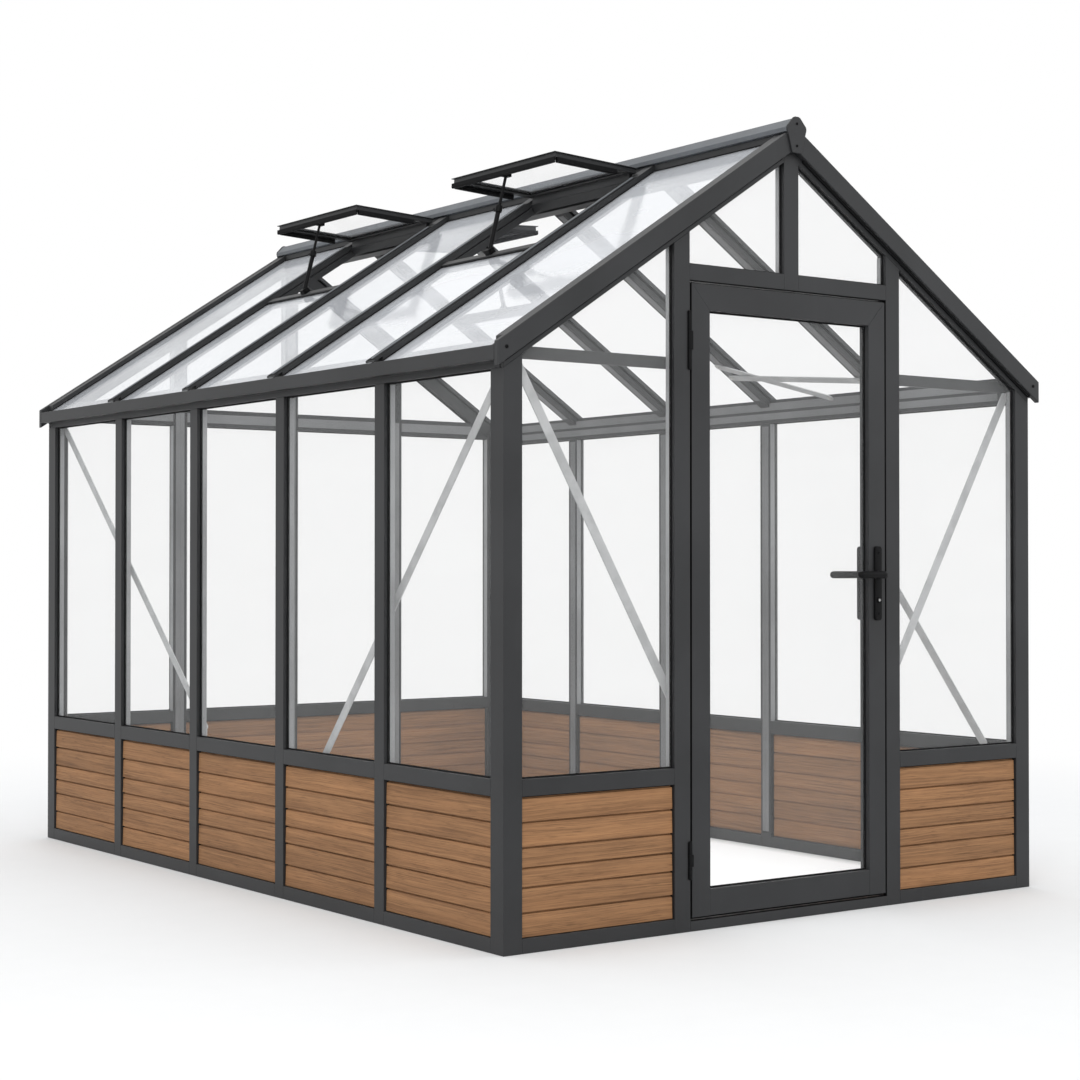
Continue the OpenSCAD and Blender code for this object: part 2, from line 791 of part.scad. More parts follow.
// Fixed half of a hinge: two outer knuckles on one pin, and the plate on the post's flank
module hinge_fixed(z, h) {
    k = h / 3;
    translate([hinge_x, hinge_y, z]) {
        cylinder(h = k - run_clear, r = knuckle_r);
        translate([0, 0, 2 * k + run_clear]) cylinder(h = k - run_clear, r = knuckle_r);
        cylinder(h = h, r = pin_r);
    }
    for (part = [[z, z + k - run_clear], [z + 2 * k + run_clear, z + h]])
        box(-post_in, -post_in + plate_t, hinge_y, -hl + hinge_deep, part[0], part[1]);
    box(-post_in, -post_in + plate_t, hinge_y + knuckle_r + hinge_side, -hl + hinge_deep, z, z + h);
}

module hinge_leaves() {
    color("black") {
        hinge_fixed(hinge_low_z, hinge_low_h);
        hinge_fixed(hinge_top_z, hinge_top_h);
    }
}

// Moving half of a hinge: the middle knuckle, bored for the pin, and its cranked plate
module hinge_moving(z, h) {
    k = h / 3;
    edge = -door_w / 2;
    difference() {
        union() {
            translate([hinge_x, hinge_y, z + k]) cylinder(h = k, r = knuckle_r);
            box(hinge_x, edge, hinge_y - knuckle_r, hinge_y - knuckle_r + plate_t, z + k, z + 2 * k);
            box(edge - plate_t, edge, hinge_y - knuckle_r, -hl + hinge_deep, z + k, z + 2 * k);
            box(edge - plate_t, edge, hinge_y + knuckle_r + over, -hl + hinge_deep, z, z + h);
        }
        translate([hinge_x, hinge_y, z]) cylinder(h = h, r = pin_r + run_clear);
    }
}

module hinge_knuckles() {
    color("black") on_door() {
        hinge_moving(hinge_low_z, hinge_low_h);
        hinge_moving(hinge_top_z, hinge_top_h);
    }
}

// Pane of the door, seated in the grooves of stiles and rails
module door_pane() {
    x = door_w / 2 - stile_w + seat;
    box(-x, x, -hl + door_glass_in, -hl + door_glass_in + glass_t,
        door_z0 + rail_h - seat, door_z1 - rail_h + seat);
}

// Stiles mitred into the top rail; the lock stile is bored for the spindle
module door_stiles() {
    xo = door_w / 2;
    xi = xo - stile_w;
    color("dimgray") on_door() difference() {
        both_sides() plate_xz([[xi, door_z0], [xo, door_z0], [xo, door_z1], [xi, door_z1 - rail_h]],
            -hl, door_t);
        door_pane();
        translate([lever_x, -hl - over, lever_z]) rotate([-90, 0, 0])
            cylinder(h = door_t + 2 * over, r = lever_r + over);
    }
}

module door_rails() {
    xo = door_w / 2;
    xi = xo - stile_w;
    color("dimgray") on_door() difference() {
        union() {
            plate_xz([[-xi, door_z1 - rail_h], [xi, door_z1 - rail_h], [xo, door_z1], [-xo, door_z1]],
                -hl, door_t);
            box(-xi, xi, -hl, -hl + door_t, door_z0, door_z0 + rail_h);
        }
        door_pane();
    }
}

module door_glass() {
    color("lightblue", 0.4) on_door() door_pane();
}

// Long backplate with its lock cylinder, outside the door
module handle_plate() {
    difference() {
        union() {
            box(lever_x - plate_w / 2, lever_x + plate_w / 2, -hl - plate_d, -hl, plate_z0, plate_z1);
            translate([lever_x, -hl, lever_z - lock_drop]) rotate([90, 0, 0])
                cylinder(h = plate_d + lock_proud, r = lock_r);
        }
        translate([lever_x, -hl + over, lever_z]) rotate([90, 0, 0])
            cylinder(h = plate_d + 2 * over, r = lever_r + run_clear);
    }
}

module handle_plates() {
    color("black") on_door() {
        handle_plate();
        translate([0, 2 * (-hl + door_t / 2), 0]) mirror([0, 1, 0]) handle_plate();
    }
}

// One lever: its neck passes through the backplate
module lever_half() {
    y = -hl - plate_d - lever_out + lever_r;
    translate([lever_x, -hl + door_t / 2, lever_z]) rotate([90, 0, 0])
        cylinder(h = door_t / 2 + plate_d + lever_out - lever_r, r = lever_r);
    translate([lever_x, y, lever_z]) sphere(r = lever_r);
    translate([lever_x, y, lever_z]) rotate([0, -90, 0]) cylinder(h = lever_l - lever_r, r = lever_r);
    translate([lever_x - lever_l + lever_r, y, lever_z]) sphere(r = lever_r);
}

module lever() {
    color("black") on_door() translate([lever_x, 0, lever_z]) rotate([0, -lever_angle, 0])
        translate([-lever_x, 0, -lever_z]) {
            lever_half();
            translate([0, 2 * (-hl + door_t / 2), 0]) mirror([0, 1, 0]) lever_half();
        }
}

base_front();
threshold();
base_sides();
base_back();
corner_posts();
posts_left();
posts_right();
posts_back();
door_posts();
sill_front();
sill_sides();
sill_back();
rail_back();
lintels();
king_post_front();
gable_rafters();
barge_boards();
eaves_beams();
ridge_beam();
ridge_cap();
ridge_ends();
roof_bars_left();
roof_bars_right();
vent_sills();
vent_frames();
vent_glass();
vent_stays();
glass_left();
glass_right();
glass_front();
glass_back();
glass_roof_left();
glass_roof_right();
cladding_sides();
cladding_front();
cladding_back();
braces();
tie_bars();
hinge_leaves();
door_stiles();
door_rails();
door_glass();
hinge_knuckles();
handle_plates();
lever();
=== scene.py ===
"""Finishes and fine parts of a glass greenhouse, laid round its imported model."""

import json
import math
import random
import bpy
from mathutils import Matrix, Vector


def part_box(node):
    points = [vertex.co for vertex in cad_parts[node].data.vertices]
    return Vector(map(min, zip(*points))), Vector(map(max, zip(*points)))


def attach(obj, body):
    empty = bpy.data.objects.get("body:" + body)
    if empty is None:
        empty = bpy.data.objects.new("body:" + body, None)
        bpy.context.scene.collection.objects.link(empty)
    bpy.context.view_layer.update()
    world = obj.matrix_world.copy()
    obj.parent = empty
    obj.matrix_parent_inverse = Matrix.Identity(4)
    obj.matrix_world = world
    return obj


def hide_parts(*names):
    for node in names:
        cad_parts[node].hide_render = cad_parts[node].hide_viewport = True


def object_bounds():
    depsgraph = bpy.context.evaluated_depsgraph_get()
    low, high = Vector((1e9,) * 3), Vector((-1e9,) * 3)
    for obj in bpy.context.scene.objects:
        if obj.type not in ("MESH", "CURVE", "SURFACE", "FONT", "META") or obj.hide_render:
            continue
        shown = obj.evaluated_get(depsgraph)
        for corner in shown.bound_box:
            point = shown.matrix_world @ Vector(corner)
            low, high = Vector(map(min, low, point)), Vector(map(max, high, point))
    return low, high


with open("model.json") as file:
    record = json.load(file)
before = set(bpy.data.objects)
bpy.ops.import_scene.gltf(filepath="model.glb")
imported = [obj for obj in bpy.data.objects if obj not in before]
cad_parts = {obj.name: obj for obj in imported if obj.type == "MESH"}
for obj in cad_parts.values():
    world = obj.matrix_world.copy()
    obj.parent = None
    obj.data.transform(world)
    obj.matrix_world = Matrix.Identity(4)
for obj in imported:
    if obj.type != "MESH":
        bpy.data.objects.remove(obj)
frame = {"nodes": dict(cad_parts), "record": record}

from types import SimpleNamespace

import bmesh
import bpy
import numpy as np
from bpy.props import FloatProperty, FloatVectorProperty, IntProperty, PointerProperty
from mathutils import Vector

bl_info = {
    "name": "Glass greenhouse",
    "version": (1, 0, 0),
    "blender": (4, 5, 0),
    "location": "View3D > Sidebar > Greenhouse",
    "description": "Finishes and fine parts of a glass greenhouse",
    "category": "Object",
}

CAD_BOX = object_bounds()
SLOT_OF = {row["node"]: row["material_slot"] for row in frame["record"]["subparts"]}
WALL_PANES = ["glass_left", "glass_right", "glass_front", "glass_back"]
ROOF_PANES = ["glass_roof_left", "glass_roof_right"]
ROOF_BARS = ["roof_bars_left", "roof_bars_right"]
WHITE = (1.0, 1.0, 1.0)
BLACK = (0.0, 0.0, 0.0)
NEAR = 0.001  # points this close to an edge belong to it
SUNK = 0.0004  # how far a fitting's foot sinks into its seat


def length(label, use, default, low, high):
    """A length in metres that the panel shows."""
    return FloatProperty(name=label, description=use, default=default, min=low, max=high, unit="LENGTH")


def tint(label, use, default):
    """A colour that the panel shows."""
    return FloatVectorProperty(name=label, description=use, default=default, subtype="COLOR",
                               min=0.0, max=1.0)


class GreenhouseSizes(bpy.types.PropertyGroup):
    """Sizes of the fine parts"""

    edge_round: length("Profile edge", "Rounding of the metal profiles' edges", 0.0014, 0.0002, 0.004)
    barge_round: length("Barge board edge", "Rounding of the barge boards' edges", 0.003, 0.001, 0.006)
    pane_seat: length("Pane seat", "Depth to which a pane sits in its groove", 0.008, 0.004, 0.012)
    gasket_width: length("Gasket width", "Width of the rubber seen along a pane", 0.0045, 0.002, 0.01)
    gasket_height: length("Gasket height", "Height of the rubber over the pane", 0.003, 0.001, 0.006)
    board_groove: length("Board groove", "Height of the groove between two boards", 0.0052, 0.001, 0.008)
    board_slope: length("Board slope", "How far a board's lower edge stands out", 0.0022, 0.0, 0.005)
    bead_width: length("Bead width", "Width of the beads inside the wall panes", 0.005, 0.002, 0.01)
    bar_cap: length("Bar cap width", "Width of the raised cap along a roof bar", 0.014, 0.008, 0.016)
    screw_radius: length("Screw radius", "Radius of the frame screws' heads", 0.0055, 0.002, 0.01)
    bolt_radius: length("Bolt radius", "Radius of the brace bolts' heads", 0.007, 0.003, 0.012)
    seed: IntProperty(name="Seed", description="Seed of the boards' differences", default=7, min=0)


class GreenhouseColours(bpy.types.PropertyGroup):
    """Colours of the finishes"""

    coat: tint("Powder coat", "Anthracite coat of the profiles", (0.0225, 0.0232, 0.0247))
    # A lighter copy of the anthracite coat: painted light on the upward ridge cap and a painted highlight
    # along the bar caps.
    cap_coat: tint("Ridge cap coat", "Weathered coat of ridge cap and bar caps", (0.098, 0.107, 0.118))
    bead: tint("Glazing beads", "Pale grey beads inside the wall panes", (0.30, 0.305, 0.31))
    liner: tint("Inner liners", "Grey strips on the inner faces of the profiles", (0.19, 0.193, 0.197))
    board_light: tint("Board, light grain", "Lightest grain of the boards", (0.41, 0.213, 0.095))
    board_dark: tint("Board, dark grain", "Darkest grain of the boards", (0.168, 0.080, 0.036))
    brace: tint("Braces", "Bare aluminium of the braces", (0.52, 0.525, 0.53))
    ironwork: tint("Ironwork", "Black coat of hinges, handle and stays", (0.0045, 0.0045, 0.005))
    # The glass veils are painted reflection of the bright surroundings.
    wall_glass: tint("Wall glass", "Veil of the wall panes", (0.69, 0.70, 0.70))
    roof_glass: tint("Roof glass", "Veil of the roof panes", (0.69, 0.71, 0.745))
    rubber: tint("Rubber", "Gaskets and seals", (0.0045, 0.0045, 0.005))
    steel: tint("Steel", "Bolts and the lock's core", (0.62, 0.62, 0.61))


def chosen(context):
    """The sizes, and the colours as plain tuples."""
    group = context.scene.greenhouse_colours
    colours = {name: tuple(getattr(group, name)) for name in GreenhouseColours.__annotations__}
    return context.scene.greenhouse_sizes, SimpleNamespace(**colours)


class Socket:
    """An output of a node that takes part in arithmetic; each step adds one Math node."""

    def __init__(self, finish, socket):
        self.finish = finish
        self.socket = socket

    def math(self, operation, first, second):
        return self.finish.node("ShaderNodeMath", {"operation": operation}, {0: first, 1: second})

    def __add__(self, other):
        return self.math("ADD", self, other)

    def __radd__(self, other):
        return self.math("ADD", other, self)

    def __sub__(self, other):
        return self.math("SUBTRACT", self, other)

    def __rsub__(self, other):
        return self.math("SUBTRACT", other, self)

    def __mul__(self, other):
        return self.math("MULTIPLY", self, other)

    def __rmul__(self, other):
        return self.math("MULTIPLY", other, self)

    def __pow__(self, other):
        return self.math("POWER", self, other)

    def between(self, low, high):
        """0 at low and below, 1 at high and above, and smooth between them."""
        return self.finish.node("ShaderNodeMapRange", {"interpolation_type": "SMOOTHSTEP"},
                                {"Value": self, "From Min": low, "From Max": high})


class Finish:
    """One procedural material, or the world's surroundings: its nodes and its shader."""

    def __init__(self, name, world=None):
        self.owner = world or bpy.data.materials.new(name)
        self.owner.use_nodes = True
        self.tree = self.owner.node_tree
        self.tree.nodes.clear()

    def node(self, kind, settings=None, sockets=None, out=0):
        """Adds a node: its settings first, then the values or links of its sockets."""
        made = self.tree.nodes.new(kind)
        for key, value in (settings or {}).items():
            setattr(made, key, value)
        for key, value in (sockets or {}).items():
            if isinstance(value, Socket):
                self.tree.links.new(value.socket, made.inputs[key])
            else:
                made.inputs[key].default_value = value
        return Socket(self, made.outputs[out]) if made.outputs else None

    def place(self):
        """The point on the piece, in metres, which stays with the piece when it moves."""
        return self.node("ShaderNodeTexCoord", out="Object")

    def stretched(self, vector, scale):
        return self.node("ShaderNodeMapping", {"vector_type": "POINT"}, {"Vector": vector, "Scale": scale})

    def noise(self, vector, scale, detail=3.0, rough=0.55, twist=0.0):
        return self.node("ShaderNodeTexNoise", {"noise_dimensions": "3D"},
                         {"Vector": vector, "Scale": scale, "Detail": detail, "Roughness": rough,
                          "Distortion": twist})

    def mix(self, factor, first, second, how="MIX"):
        """Two colours, mixed."""
        def colour(value):
            return value if isinstance(value, Socket) else (*value, 1.0)
        return self.node("ShaderNodeMix", {"data_type": "RGBA", "blend_type": how},
                         {0: factor, 6: colour(first), 7: colour(second)}, out=2)

    def attribute(self, name, out):
        return self.node("ShaderNodeAttribute", {"attribute_type": "GEOMETRY", "attribute_name": name},
                         out=out)

    def upward(self):
        """1 on faces that look up, 0 on upright ones."""
        normal = self.node("ShaderNodeNewGeometry", out="True Normal")
        return self.node("ShaderNodeSeparateXYZ", None, {0: normal}, out=2).between(0.35, 0.95)

    def seen(self):
        """1 for a ray from the eye, straight, mirrored or through glass, and 0 for one that lights."""
        straight, mirrored, through = (
            self.node("ShaderNodeLightPath", out=ray)
            for ray in ("Is Camera Ray", "Is Glossy Ray", "Is Transmission Ray"))
        return straight.math("MAXIMUM", straight.math("MAXIMUM", straight, mirrored), through)

    def bump(self, height, strength, distance):
        return self.node("ShaderNodeBump", None,
                         {"Height": height, "Strength": strength, "Distance": distance})

    def surface(self, **sockets):
        """The finished shader; a socket's name is written with _ for a blank."""
        names = {key.replace("_", " "): value for key, value in sockets.items()}
        shader = self.node("ShaderNodeBsdfPrincipled", None, names)
        self.node("ShaderNodeOutputMaterial", None, {"Surface": shader})
        return self.owner


def scaled(colour, factor):
    return tuple(factor * part for part in colour)


def powder_coat(name, colour, rough=0.47):
    """Satin powder coat: a fine orange peel, cloudy gloss, and dust where it can settle."""
    coat = Finish(name)
    place = coat.place()
    cloud = coat.noise(place, 2.6, 4.0)
    peel = coat.noise(place, 900.0, 2.0)
    streak = coat.noise(coat.stretched(place, (34.0, 34.0, 1.6)), 1.0, 4.0, 0.6)
    dust = coat.upward() * coat.noise(place, 26.0, 5.0, 0.65).between(0.38, 0.72)
    shade = coat.mix(cloud.between(0.25, 0.75), scaled(colour, 0.80), scaled(colour, 1.28))
    shade = coat.mix(streak.between(0.55, 0.85) * 0.35, shade, scaled(colour, 1.45))
    shade = coat.mix(dust * 0.28, shade, (0.20, 0.195, 0.185))
    gloss = rough + 0.10 * (cloud - 0.5) + 0.07 * (peel - 0.5) + 0.22 * dust
    return coat.surface(Base_Color=shade, Roughness=gloss, Normal=coat.bump(peel, 0.10, 0.0004),
                        Specular_IOR_Level=0.34)


def clear_glass(name, colour, reflection_veil, glance_reflection, sky_reflection):
    """Clear toughened glass: a pale veil of painted reflection that grows at a glance, faint wipe marks, and
    a painted sky reflection on a slope.
    """
    glass = Finish(name)
    place = glass.place()
    wipe = glass.noise(glass.stretched(place, (1.1, 1.1, 4.5)), 1.7, 4.0, 0.5)
    cloud = glass.noise(glass.stretched(place, (2.2, 1.0, 2.2)), 1.3, 4.0, 0.5).between(0.30, 0.72)
    speck = glass.noise(place, 140.0, 2.0)
    glance = glass.node("ShaderNodeLayerWeight", None, {"Blend": 0.35}, out="Facing")
    sky = glass.upward() * sky_reflection
    # The alpha is painted reflection: a base veil, more at a glance, and a painted sky reflection with a
    # painted cloud pattern on upward panes; only the wipe marks are real.
    cover = reflection_veil + glance_reflection * glance ** 2.0 + 0.02 * (wipe - 0.5) + sky * (0.85 + 0.30 * cloud)
    # The pane colour follows the same painted cloud reflection pattern.
    shade = glass.mix(cloud, scaled(colour, 0.95), colour)
    roll = glass.noise(place, 3.2, 1.0)
    return glass.surface(
        Base_Color=shade, Roughness=0.05 + 0.05 * wipe.between(0.45, 0.8) + 0.03 * speck,
        Alpha=cover, Normal=glass.bump(roll, 0.05, 0.002), IOR=1.52)


def board_wood(name, light, dark):
    """Oiled cladding: long fine grain, darker short pores, and each board its own tone."""
    wood = Finish(name)
    grain = wood.attribute("grain", "Vector")
    tone = wood.attribute("tone", "Fac")
    sway = wood.noise(wood.stretched(grain, (2.2, 9.0, 9.0)), 1.0, 2.0)
    swayed = wood.node("ShaderNodeCombineXYZ", None, {"Z": 0.020 * (sway - 0.5)})
    bent = wood.node("ShaderNodeVectorMath", {"operation": "ADD"}, {0: grain, 1: swayed})
    bands = wood.noise(wood.stretched(bent, (1.5, 120.0, 190.0)), 1.0, 5.0, 0.6, 0.1)
    lines = wood.noise(wood.stretched(bent, (5.0, 300.0, 460.0)), 1.0, 4.0, 0.65)
    pores = wood.noise(wood.stretched(bent, (16.0, 380.0, 540.0)), 1.0, 2.0, 0.5)
    blotch = wood.noise(wood.stretched(grain, (3.4, 20.0, 26.0)), 1.0, 3.0)
    depth = (0.36 * bands + 0.46 * lines + 0.18 * blotch).between(0.31, 0.67)
    colour = wood.mix(depth, dark, light)
    colour = wood.mix(pores.between(0.58, 0.70) * 0.55, colour, scaled(dark, 0.55))
    warm = tuple((part + red) / 2 for part, red in zip(light, (0.40, 0.17, 0.07)))
    colour = wood.mix(blotch.between(0.45, 0.8) * 0.30, colour, warm)
    shade = wood.node("ShaderNodeCombineColor", None,
                      {0: 0.90 + 0.20 * tone, 1: 0.90 + 0.19 * tone, 2: 0.90 + 0.17 * tone})
    colour = wood.mix(1.0, colour, shade, "MULTIPLY")
    height = 0.6 * lines + 0.4 * bands - 0.5 * pores.between(0.60, 0.72)
    return wood.surface(
        Base_Color=colour, Roughness=0.56 + 0.16 * lines + 0.10 * (1.0 - depth),
        Normal=wood.bump(height, 0.35, 0.0009), Specular_IOR_Level=0.35)


def bare_aluminium(name, colour):
    """Mill-finish flat bar: drawn lines along it and a dull oxide bloom."""
    bar = Finish(name)
    place = bar.place()
    drawn = bar.noise(bar.stretched(place, (260.0, 260.0, 9.0)), 1.0, 3.0)
    bloom = bar.noise(place, 14.0, 5.0, 0.6)
    shade = bar.mix(bloom.between(0.35, 0.7), colour, scaled(colour, 0.80))
    return bar.surface(
        Base_Color=shade, Metallic=0.55 + 0.2 * bloom, Roughness=0.42 + 0.14 * drawn + 0.10 * bloom,
        Normal=bar.bump(drawn, 0.12, 0.0004))


def satin_black(name, colour):
    """Black coat of the ironwork, rubbed a little where hands and weather reach it."""
    iron = Finish(name)
    place = iron.place()
    cloud = iron.noise(place, 22.0, 4.0)
    grit = iron.noise(place, 1300.0, 2.0)
    rub = iron.noise(place, 70.0, 5.0, 0.65).between(0.60, 0.78)
    shade = iron.mix(rub * 0.35, colour, tuple(2.6 * part + 0.004 for part in colour))
    return iron.surface(
        Base_Color=shade, Roughness=0.40 + 0.12 * cloud + 0.06 * grit - 0.08 * rub,
        Normal=iron.bump(grit, 0.12, 0.0003), Specular_IOR_Level=0.10)


def gasket_rubber(name, colour):
    """Black glazing rubber with a grey bloom."""
    rubber = Finish(name)
    place = rubber.place()
    bloom = rubber.noise(place, 60.0, 5.0, 0.6)
    ribs = rubber.noise(place, 700.0, 2.0)
    shade = rubber.mix(bloom.between(0.5, 0.85) * 0.4, colour, (0.022, 0.0215, 0.021))
    return rubber.surface(
        Base_Color=shade, Roughness=0.66 + 0.18 * bloom, Normal=rubber.bump(ribs, 0.15, 0.0003),
        Specular_IOR_Level=0.14)


def bright_steel(name, colour):
    """Zinc-plated or stainless fastener steel with turning marks."""
    steel = Finish(name)
    place = steel.place()
    marks = steel.noise(place, 1100.0, 3.0)
    tarnish = steel.noise(place, 180.0, 4.0)
    shade = steel.mix(tarnish.between(0.45, 0.8), colour, scaled(colour, 0.6))
    return steel.surface(
        Base_Color=shade, Metallic=1.0, Roughness=0.26 + 0.14 * tarnish + 0.08 * marks,
        Normal=steel.bump(marks, 0.10, 0.0002))


def dress(names, material):
    """Puts one finish on CAD nodes."""
    for name in names:
        slots = frame["nodes"][name].data.materials
        slots.clear()
        slots.append(material)


def soften(name, width, segments=2, whole=True):
    """Rounds the edges of a CAD node with modifiers, which leave its own mesh alone.

    whole joins flat triangles first; it is off where a flat face runs round a hole."""
    piece = frame["nodes"][name]
    weld = piece.modifiers.new("joined corners", "WELD")
    weld.merge_threshold = 0.00002
    if whole:
        flat = piece.modifiers.new("whole faces", "DECIMATE")
        flat.decimate_type = "DISSOLVE"
        flat.angle_limit = math.radians(0.6)
    edge = piece.modifiers.new("rounded edges", "BEVEL")
    edge.width = width
    edge.segments = segments
    edge.limit_method = "ANGLE"
    edge.angle_limit = math.radians(35.0)
    edge.harden_normals = True
    edge.miter_outer = "MITER_ARC"


def solids(node):
    """The corner points of each separate solid of a CAD node, in order of place."""
    mesh = frame["nodes"][node].data
    index, parent, own = {}, [], []

    def root(i):
        while parent[i] != i:
            parent[i] = parent[parent[i]]
            i = parent[i]
        return i

    for vertex in mesh.vertices:
        key = tuple(round(part * 1e5) for part in vertex.co)
        if key not in index:
            index[key] = len(parent)
            parent.append(index[key])
        own.append(index[key])
    for face in mesh.polygons:
        first = root(own[face.vertices[0]])
        for i in face.vertices[1:]:
            parent[root(own[i])] = first
    groups = {}
    for key, i in index.items():
        groups.setdefault(root(i), []).append(Vector(key) / 1e5)
    return sorted(groups.values(), key=lambda points: tuple(round(part, 4) for part in middle(points)))


def solids_of(nodes):
    return [points for node in nodes for points in solids(node)]


def corners(points):
    """Lowest and highest corner of some points."""
    low = Vector(min(p[i] for p in points) for i in range(3))
    high = Vector(max(p[i] for p in points) for i in range(3))
    return low, high


def middle(points):
    low, high = corners(points)
    return (low + high) / 2


def side_of(low, high, axis):
    """The side of the house's middle on which a box lies: 1 or -1."""
    return 1.0 if low[axis] + high[axis] > 0 else -1.0


def face_of(low, high, axis, sign):
    """Where a box ends on one side."""
    return high[axis] if sign > 0 else low[axis]


def wall_axes(low, high):
    """The axis along a flat piece of a wall, and the axis across it."""
    return (1, 0) if high.x - low.x < high.y - low.y else (0, 1)


def wall_point(along, out, t, depth, z):
    """A point by its place along a wall, its place across it and its height."""
    point = Vector((0.0, 0.0, z))
    point[along], point[out] = t, depth
    return point


def long_axis(points):
    """Some points as an array, their mean, and the direction in which they spread most."""
    cloud = np.array([tuple(point) for point in points])
    centre = cloud.mean(0)
    return cloud, centre, np.linalg.eigh(np.cov((cloud - centre).T))[1][:, 2]


def far_end(points, reach):
    """The points at the eaves end of a sloping piece."""
    far = max(abs(p.x) for p in points)
    return [p for p in points if abs(p.x) > far - reach]


def slope_line(head, foot):
    """The rise of a roof line through two points, and its height at an x."""
    rise = (foot.z - head.z) / (foot.x - head.x)
    return rise, lambda x: head.z + rise * (x - head.x)


def bar_underside(points):
    """Head and foot of a roof bar's lower edge, over the house's inside."""
    head = min(points, key=lambda p: (round(abs(p.x), 4), p.z))
    foot = min((p for p in points if 1.0 < abs(p.x) < 1.0425), key=lambda p: p.z)
    return head, foot


def loft(bm, rings, looped=False):
    """Skins a row of rings that have the same number of points, closed at its ends or into a loop."""
    rows = [[bm.verts.new(point) for point in ring] for ring in rings]
    pairs = list(zip(rows, rows[1:])) + ([(rows[-1], rows[0])] if looped else [])
    for first, second in pairs:
        count = len(first)
        for i in range(count):
            j = (i + 1) % count
            bm.faces.new((first[i], first[j], second[j], second[i]))
    if not looped:
        bm.faces.new(list(reversed(rows[0])))
        bm.faces.new(rows[-1])
    return rows


def piece_from(bm, name, material, body, smooth=32.0):
    """Turns a mesh into a named piece that rides on a CAD body."""
    bmesh.ops.recalc_face_normals(bm, faces=bm.faces)
    mesh = bpy.data.meshes.new(name)
    bm.to_mesh(mesh)
    bm.free()
    mesh.polygons.foreach_set("use_smooth", [True] * len(mesh.polygons))
    mesh.set_sharp_from_angle(angle=math.radians(smooth))
    mesh.materials.append(material)
    piece = bpy.data.objects.new(name, mesh)
    bpy.context.scene.collection.objects.link(piece)
    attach(piece, body)
    return piece


def across(normal):
    """Two directions square to a normal and to each other."""
    normal = Vector(normal).normalized()
    start = Vector((0, 0, 1)) if abs(normal.z) < 0.9 else Vector((0, 1, 0))
    first = start.cross(normal).normalized()
    return first, normal.cross(first)


def turned(bm, centre, normal, rings, sides=24):
    """A turned form about a normal, closed at both ends.

    A ring is a radius, or a function that gives it at an angle, and a height."""
    first, second = across(normal)
    normal = Vector(normal).normalized()
    lines = []
    for radius, height in rings:
        line = []
        for i in range(sides):
            angle = 2 * math.pi * i / sides
            r = radius(angle) if callable(radius) else radius
            line.append(Vector(centre) + normal * height
                        + r * (math.cos(angle) * first + math.sin(angle) * second))
        lines.append(line)
    loft(bm, lines)


def hexagon(flat):
    """Radius of a hexagon, as wide as flat each way from its centre, at an angle."""
    return lambda angle: flat / math.cos((angle % (math.pi / 3)) - math.pi / 6)


def pan_screw(bm, centre, normal, radius):
    """Domed screw head with a hexagon socket."""
    turned(bm, centre, normal, [
        (radius, -SUNK), (radius, 0.14 * radius), (0.95 * radius, 0.30 * radius),
        (0.80 * radius, 0.46 * radius), (0.58 * radius, 0.56 * radius), (0.50 * radius, 0.57 * radius),
        (hexagon(0.38 * radius), 0.56 * radius), (hexagon(0.36 * radius), 0.20 * radius),
        (0.06 * radius, 0.14 * radius)])


def hex_bolt(bm, centre, normal, radius):
    """Hexagon bolt head on a washer."""
    turned(bm, centre, normal, [
        (1.55 * radius, -SUNK), (1.55 * radius, 0.18 * radius), (1.46 * radius, 0.24 * radius),
        (hexagon(radius), 0.24 * radius), (hexagon(radius), 0.74 * radius),
        (0.90 * radius, 0.88 * radius), (0.40 * radius, 0.90 * radius), (0.05 * radius, 0.90 * radius)])


def swept(bm, path, radius, sides=24, ends=5):
    """A round bar along a path of points, with domed ends."""
    path = [Vector(point) for point in path]
    first = (path[1] - path[0]).normalized()
    last = (path[-1] - path[-2]).normalized()
    stations = []
    for i in range(ends, 0, -1):
        angle = 0.5 * math.pi * i / ends
        stations.append((path[0] - first * radius * math.sin(angle), first, radius * math.cos(angle)))
    for i, point in enumerate(path):
        before = path[max(i - 1, 0)]
        after = path[min(i + 1, len(path) - 1)]
        stations.append((point, (after - before).normalized(), radius))
    for i in range(1, ends + 1):
        angle = 0.5 * math.pi * i / ends
        stations.append((path[-1] + last * radius * math.sin(angle), last, radius * math.cos(angle)))
    side = across(first)[0]
    rings = []
    for centre, along, r in stations:
        side = (side - along * side.dot(along)).normalized()
        other = along.cross(side)
        rings.append([centre + max(r, 1e-5) * (math.cos(2 * math.pi * k / sides) * side
                                               + math.sin(2 * math.pi * k / sides) * other)
                      for k in range(sides)])
    loft(bm, rings)


def flat_bar(bm, start, end, normal, width, thick):
    """A flat bar with rounded ends between two points of a plane, lying on the side of its normal."""
    along = (end - start).normalized()
    side = normal.cross(along)
    outline = []
    for centre, turn in ((end, -0.5), (start, 0.5)):
        for i in range(9):
            angle = math.pi * (turn + i / 8)
            outline.append(centre + 0.5 * width * (math.cos(angle) * along + math.sin(angle) * side))
    loft(bm, [[point + normal * h for point in outline] for h in (0.0, thick)])


def slope_strip(bm, x0, x1, y, profile, height):
    """A profile of (across, up) points run down a roof slope at y, on a surface of height(x)."""
    rise = (height(x1) - height(x0)) / (x1 - x0)
    up = Vector((-rise, 0.0, 1.0)).normalized()
    loft(bm, [[Vector((x, y + a, height(x))) + up * b for a, b in profile] for x in (x0, x1)])


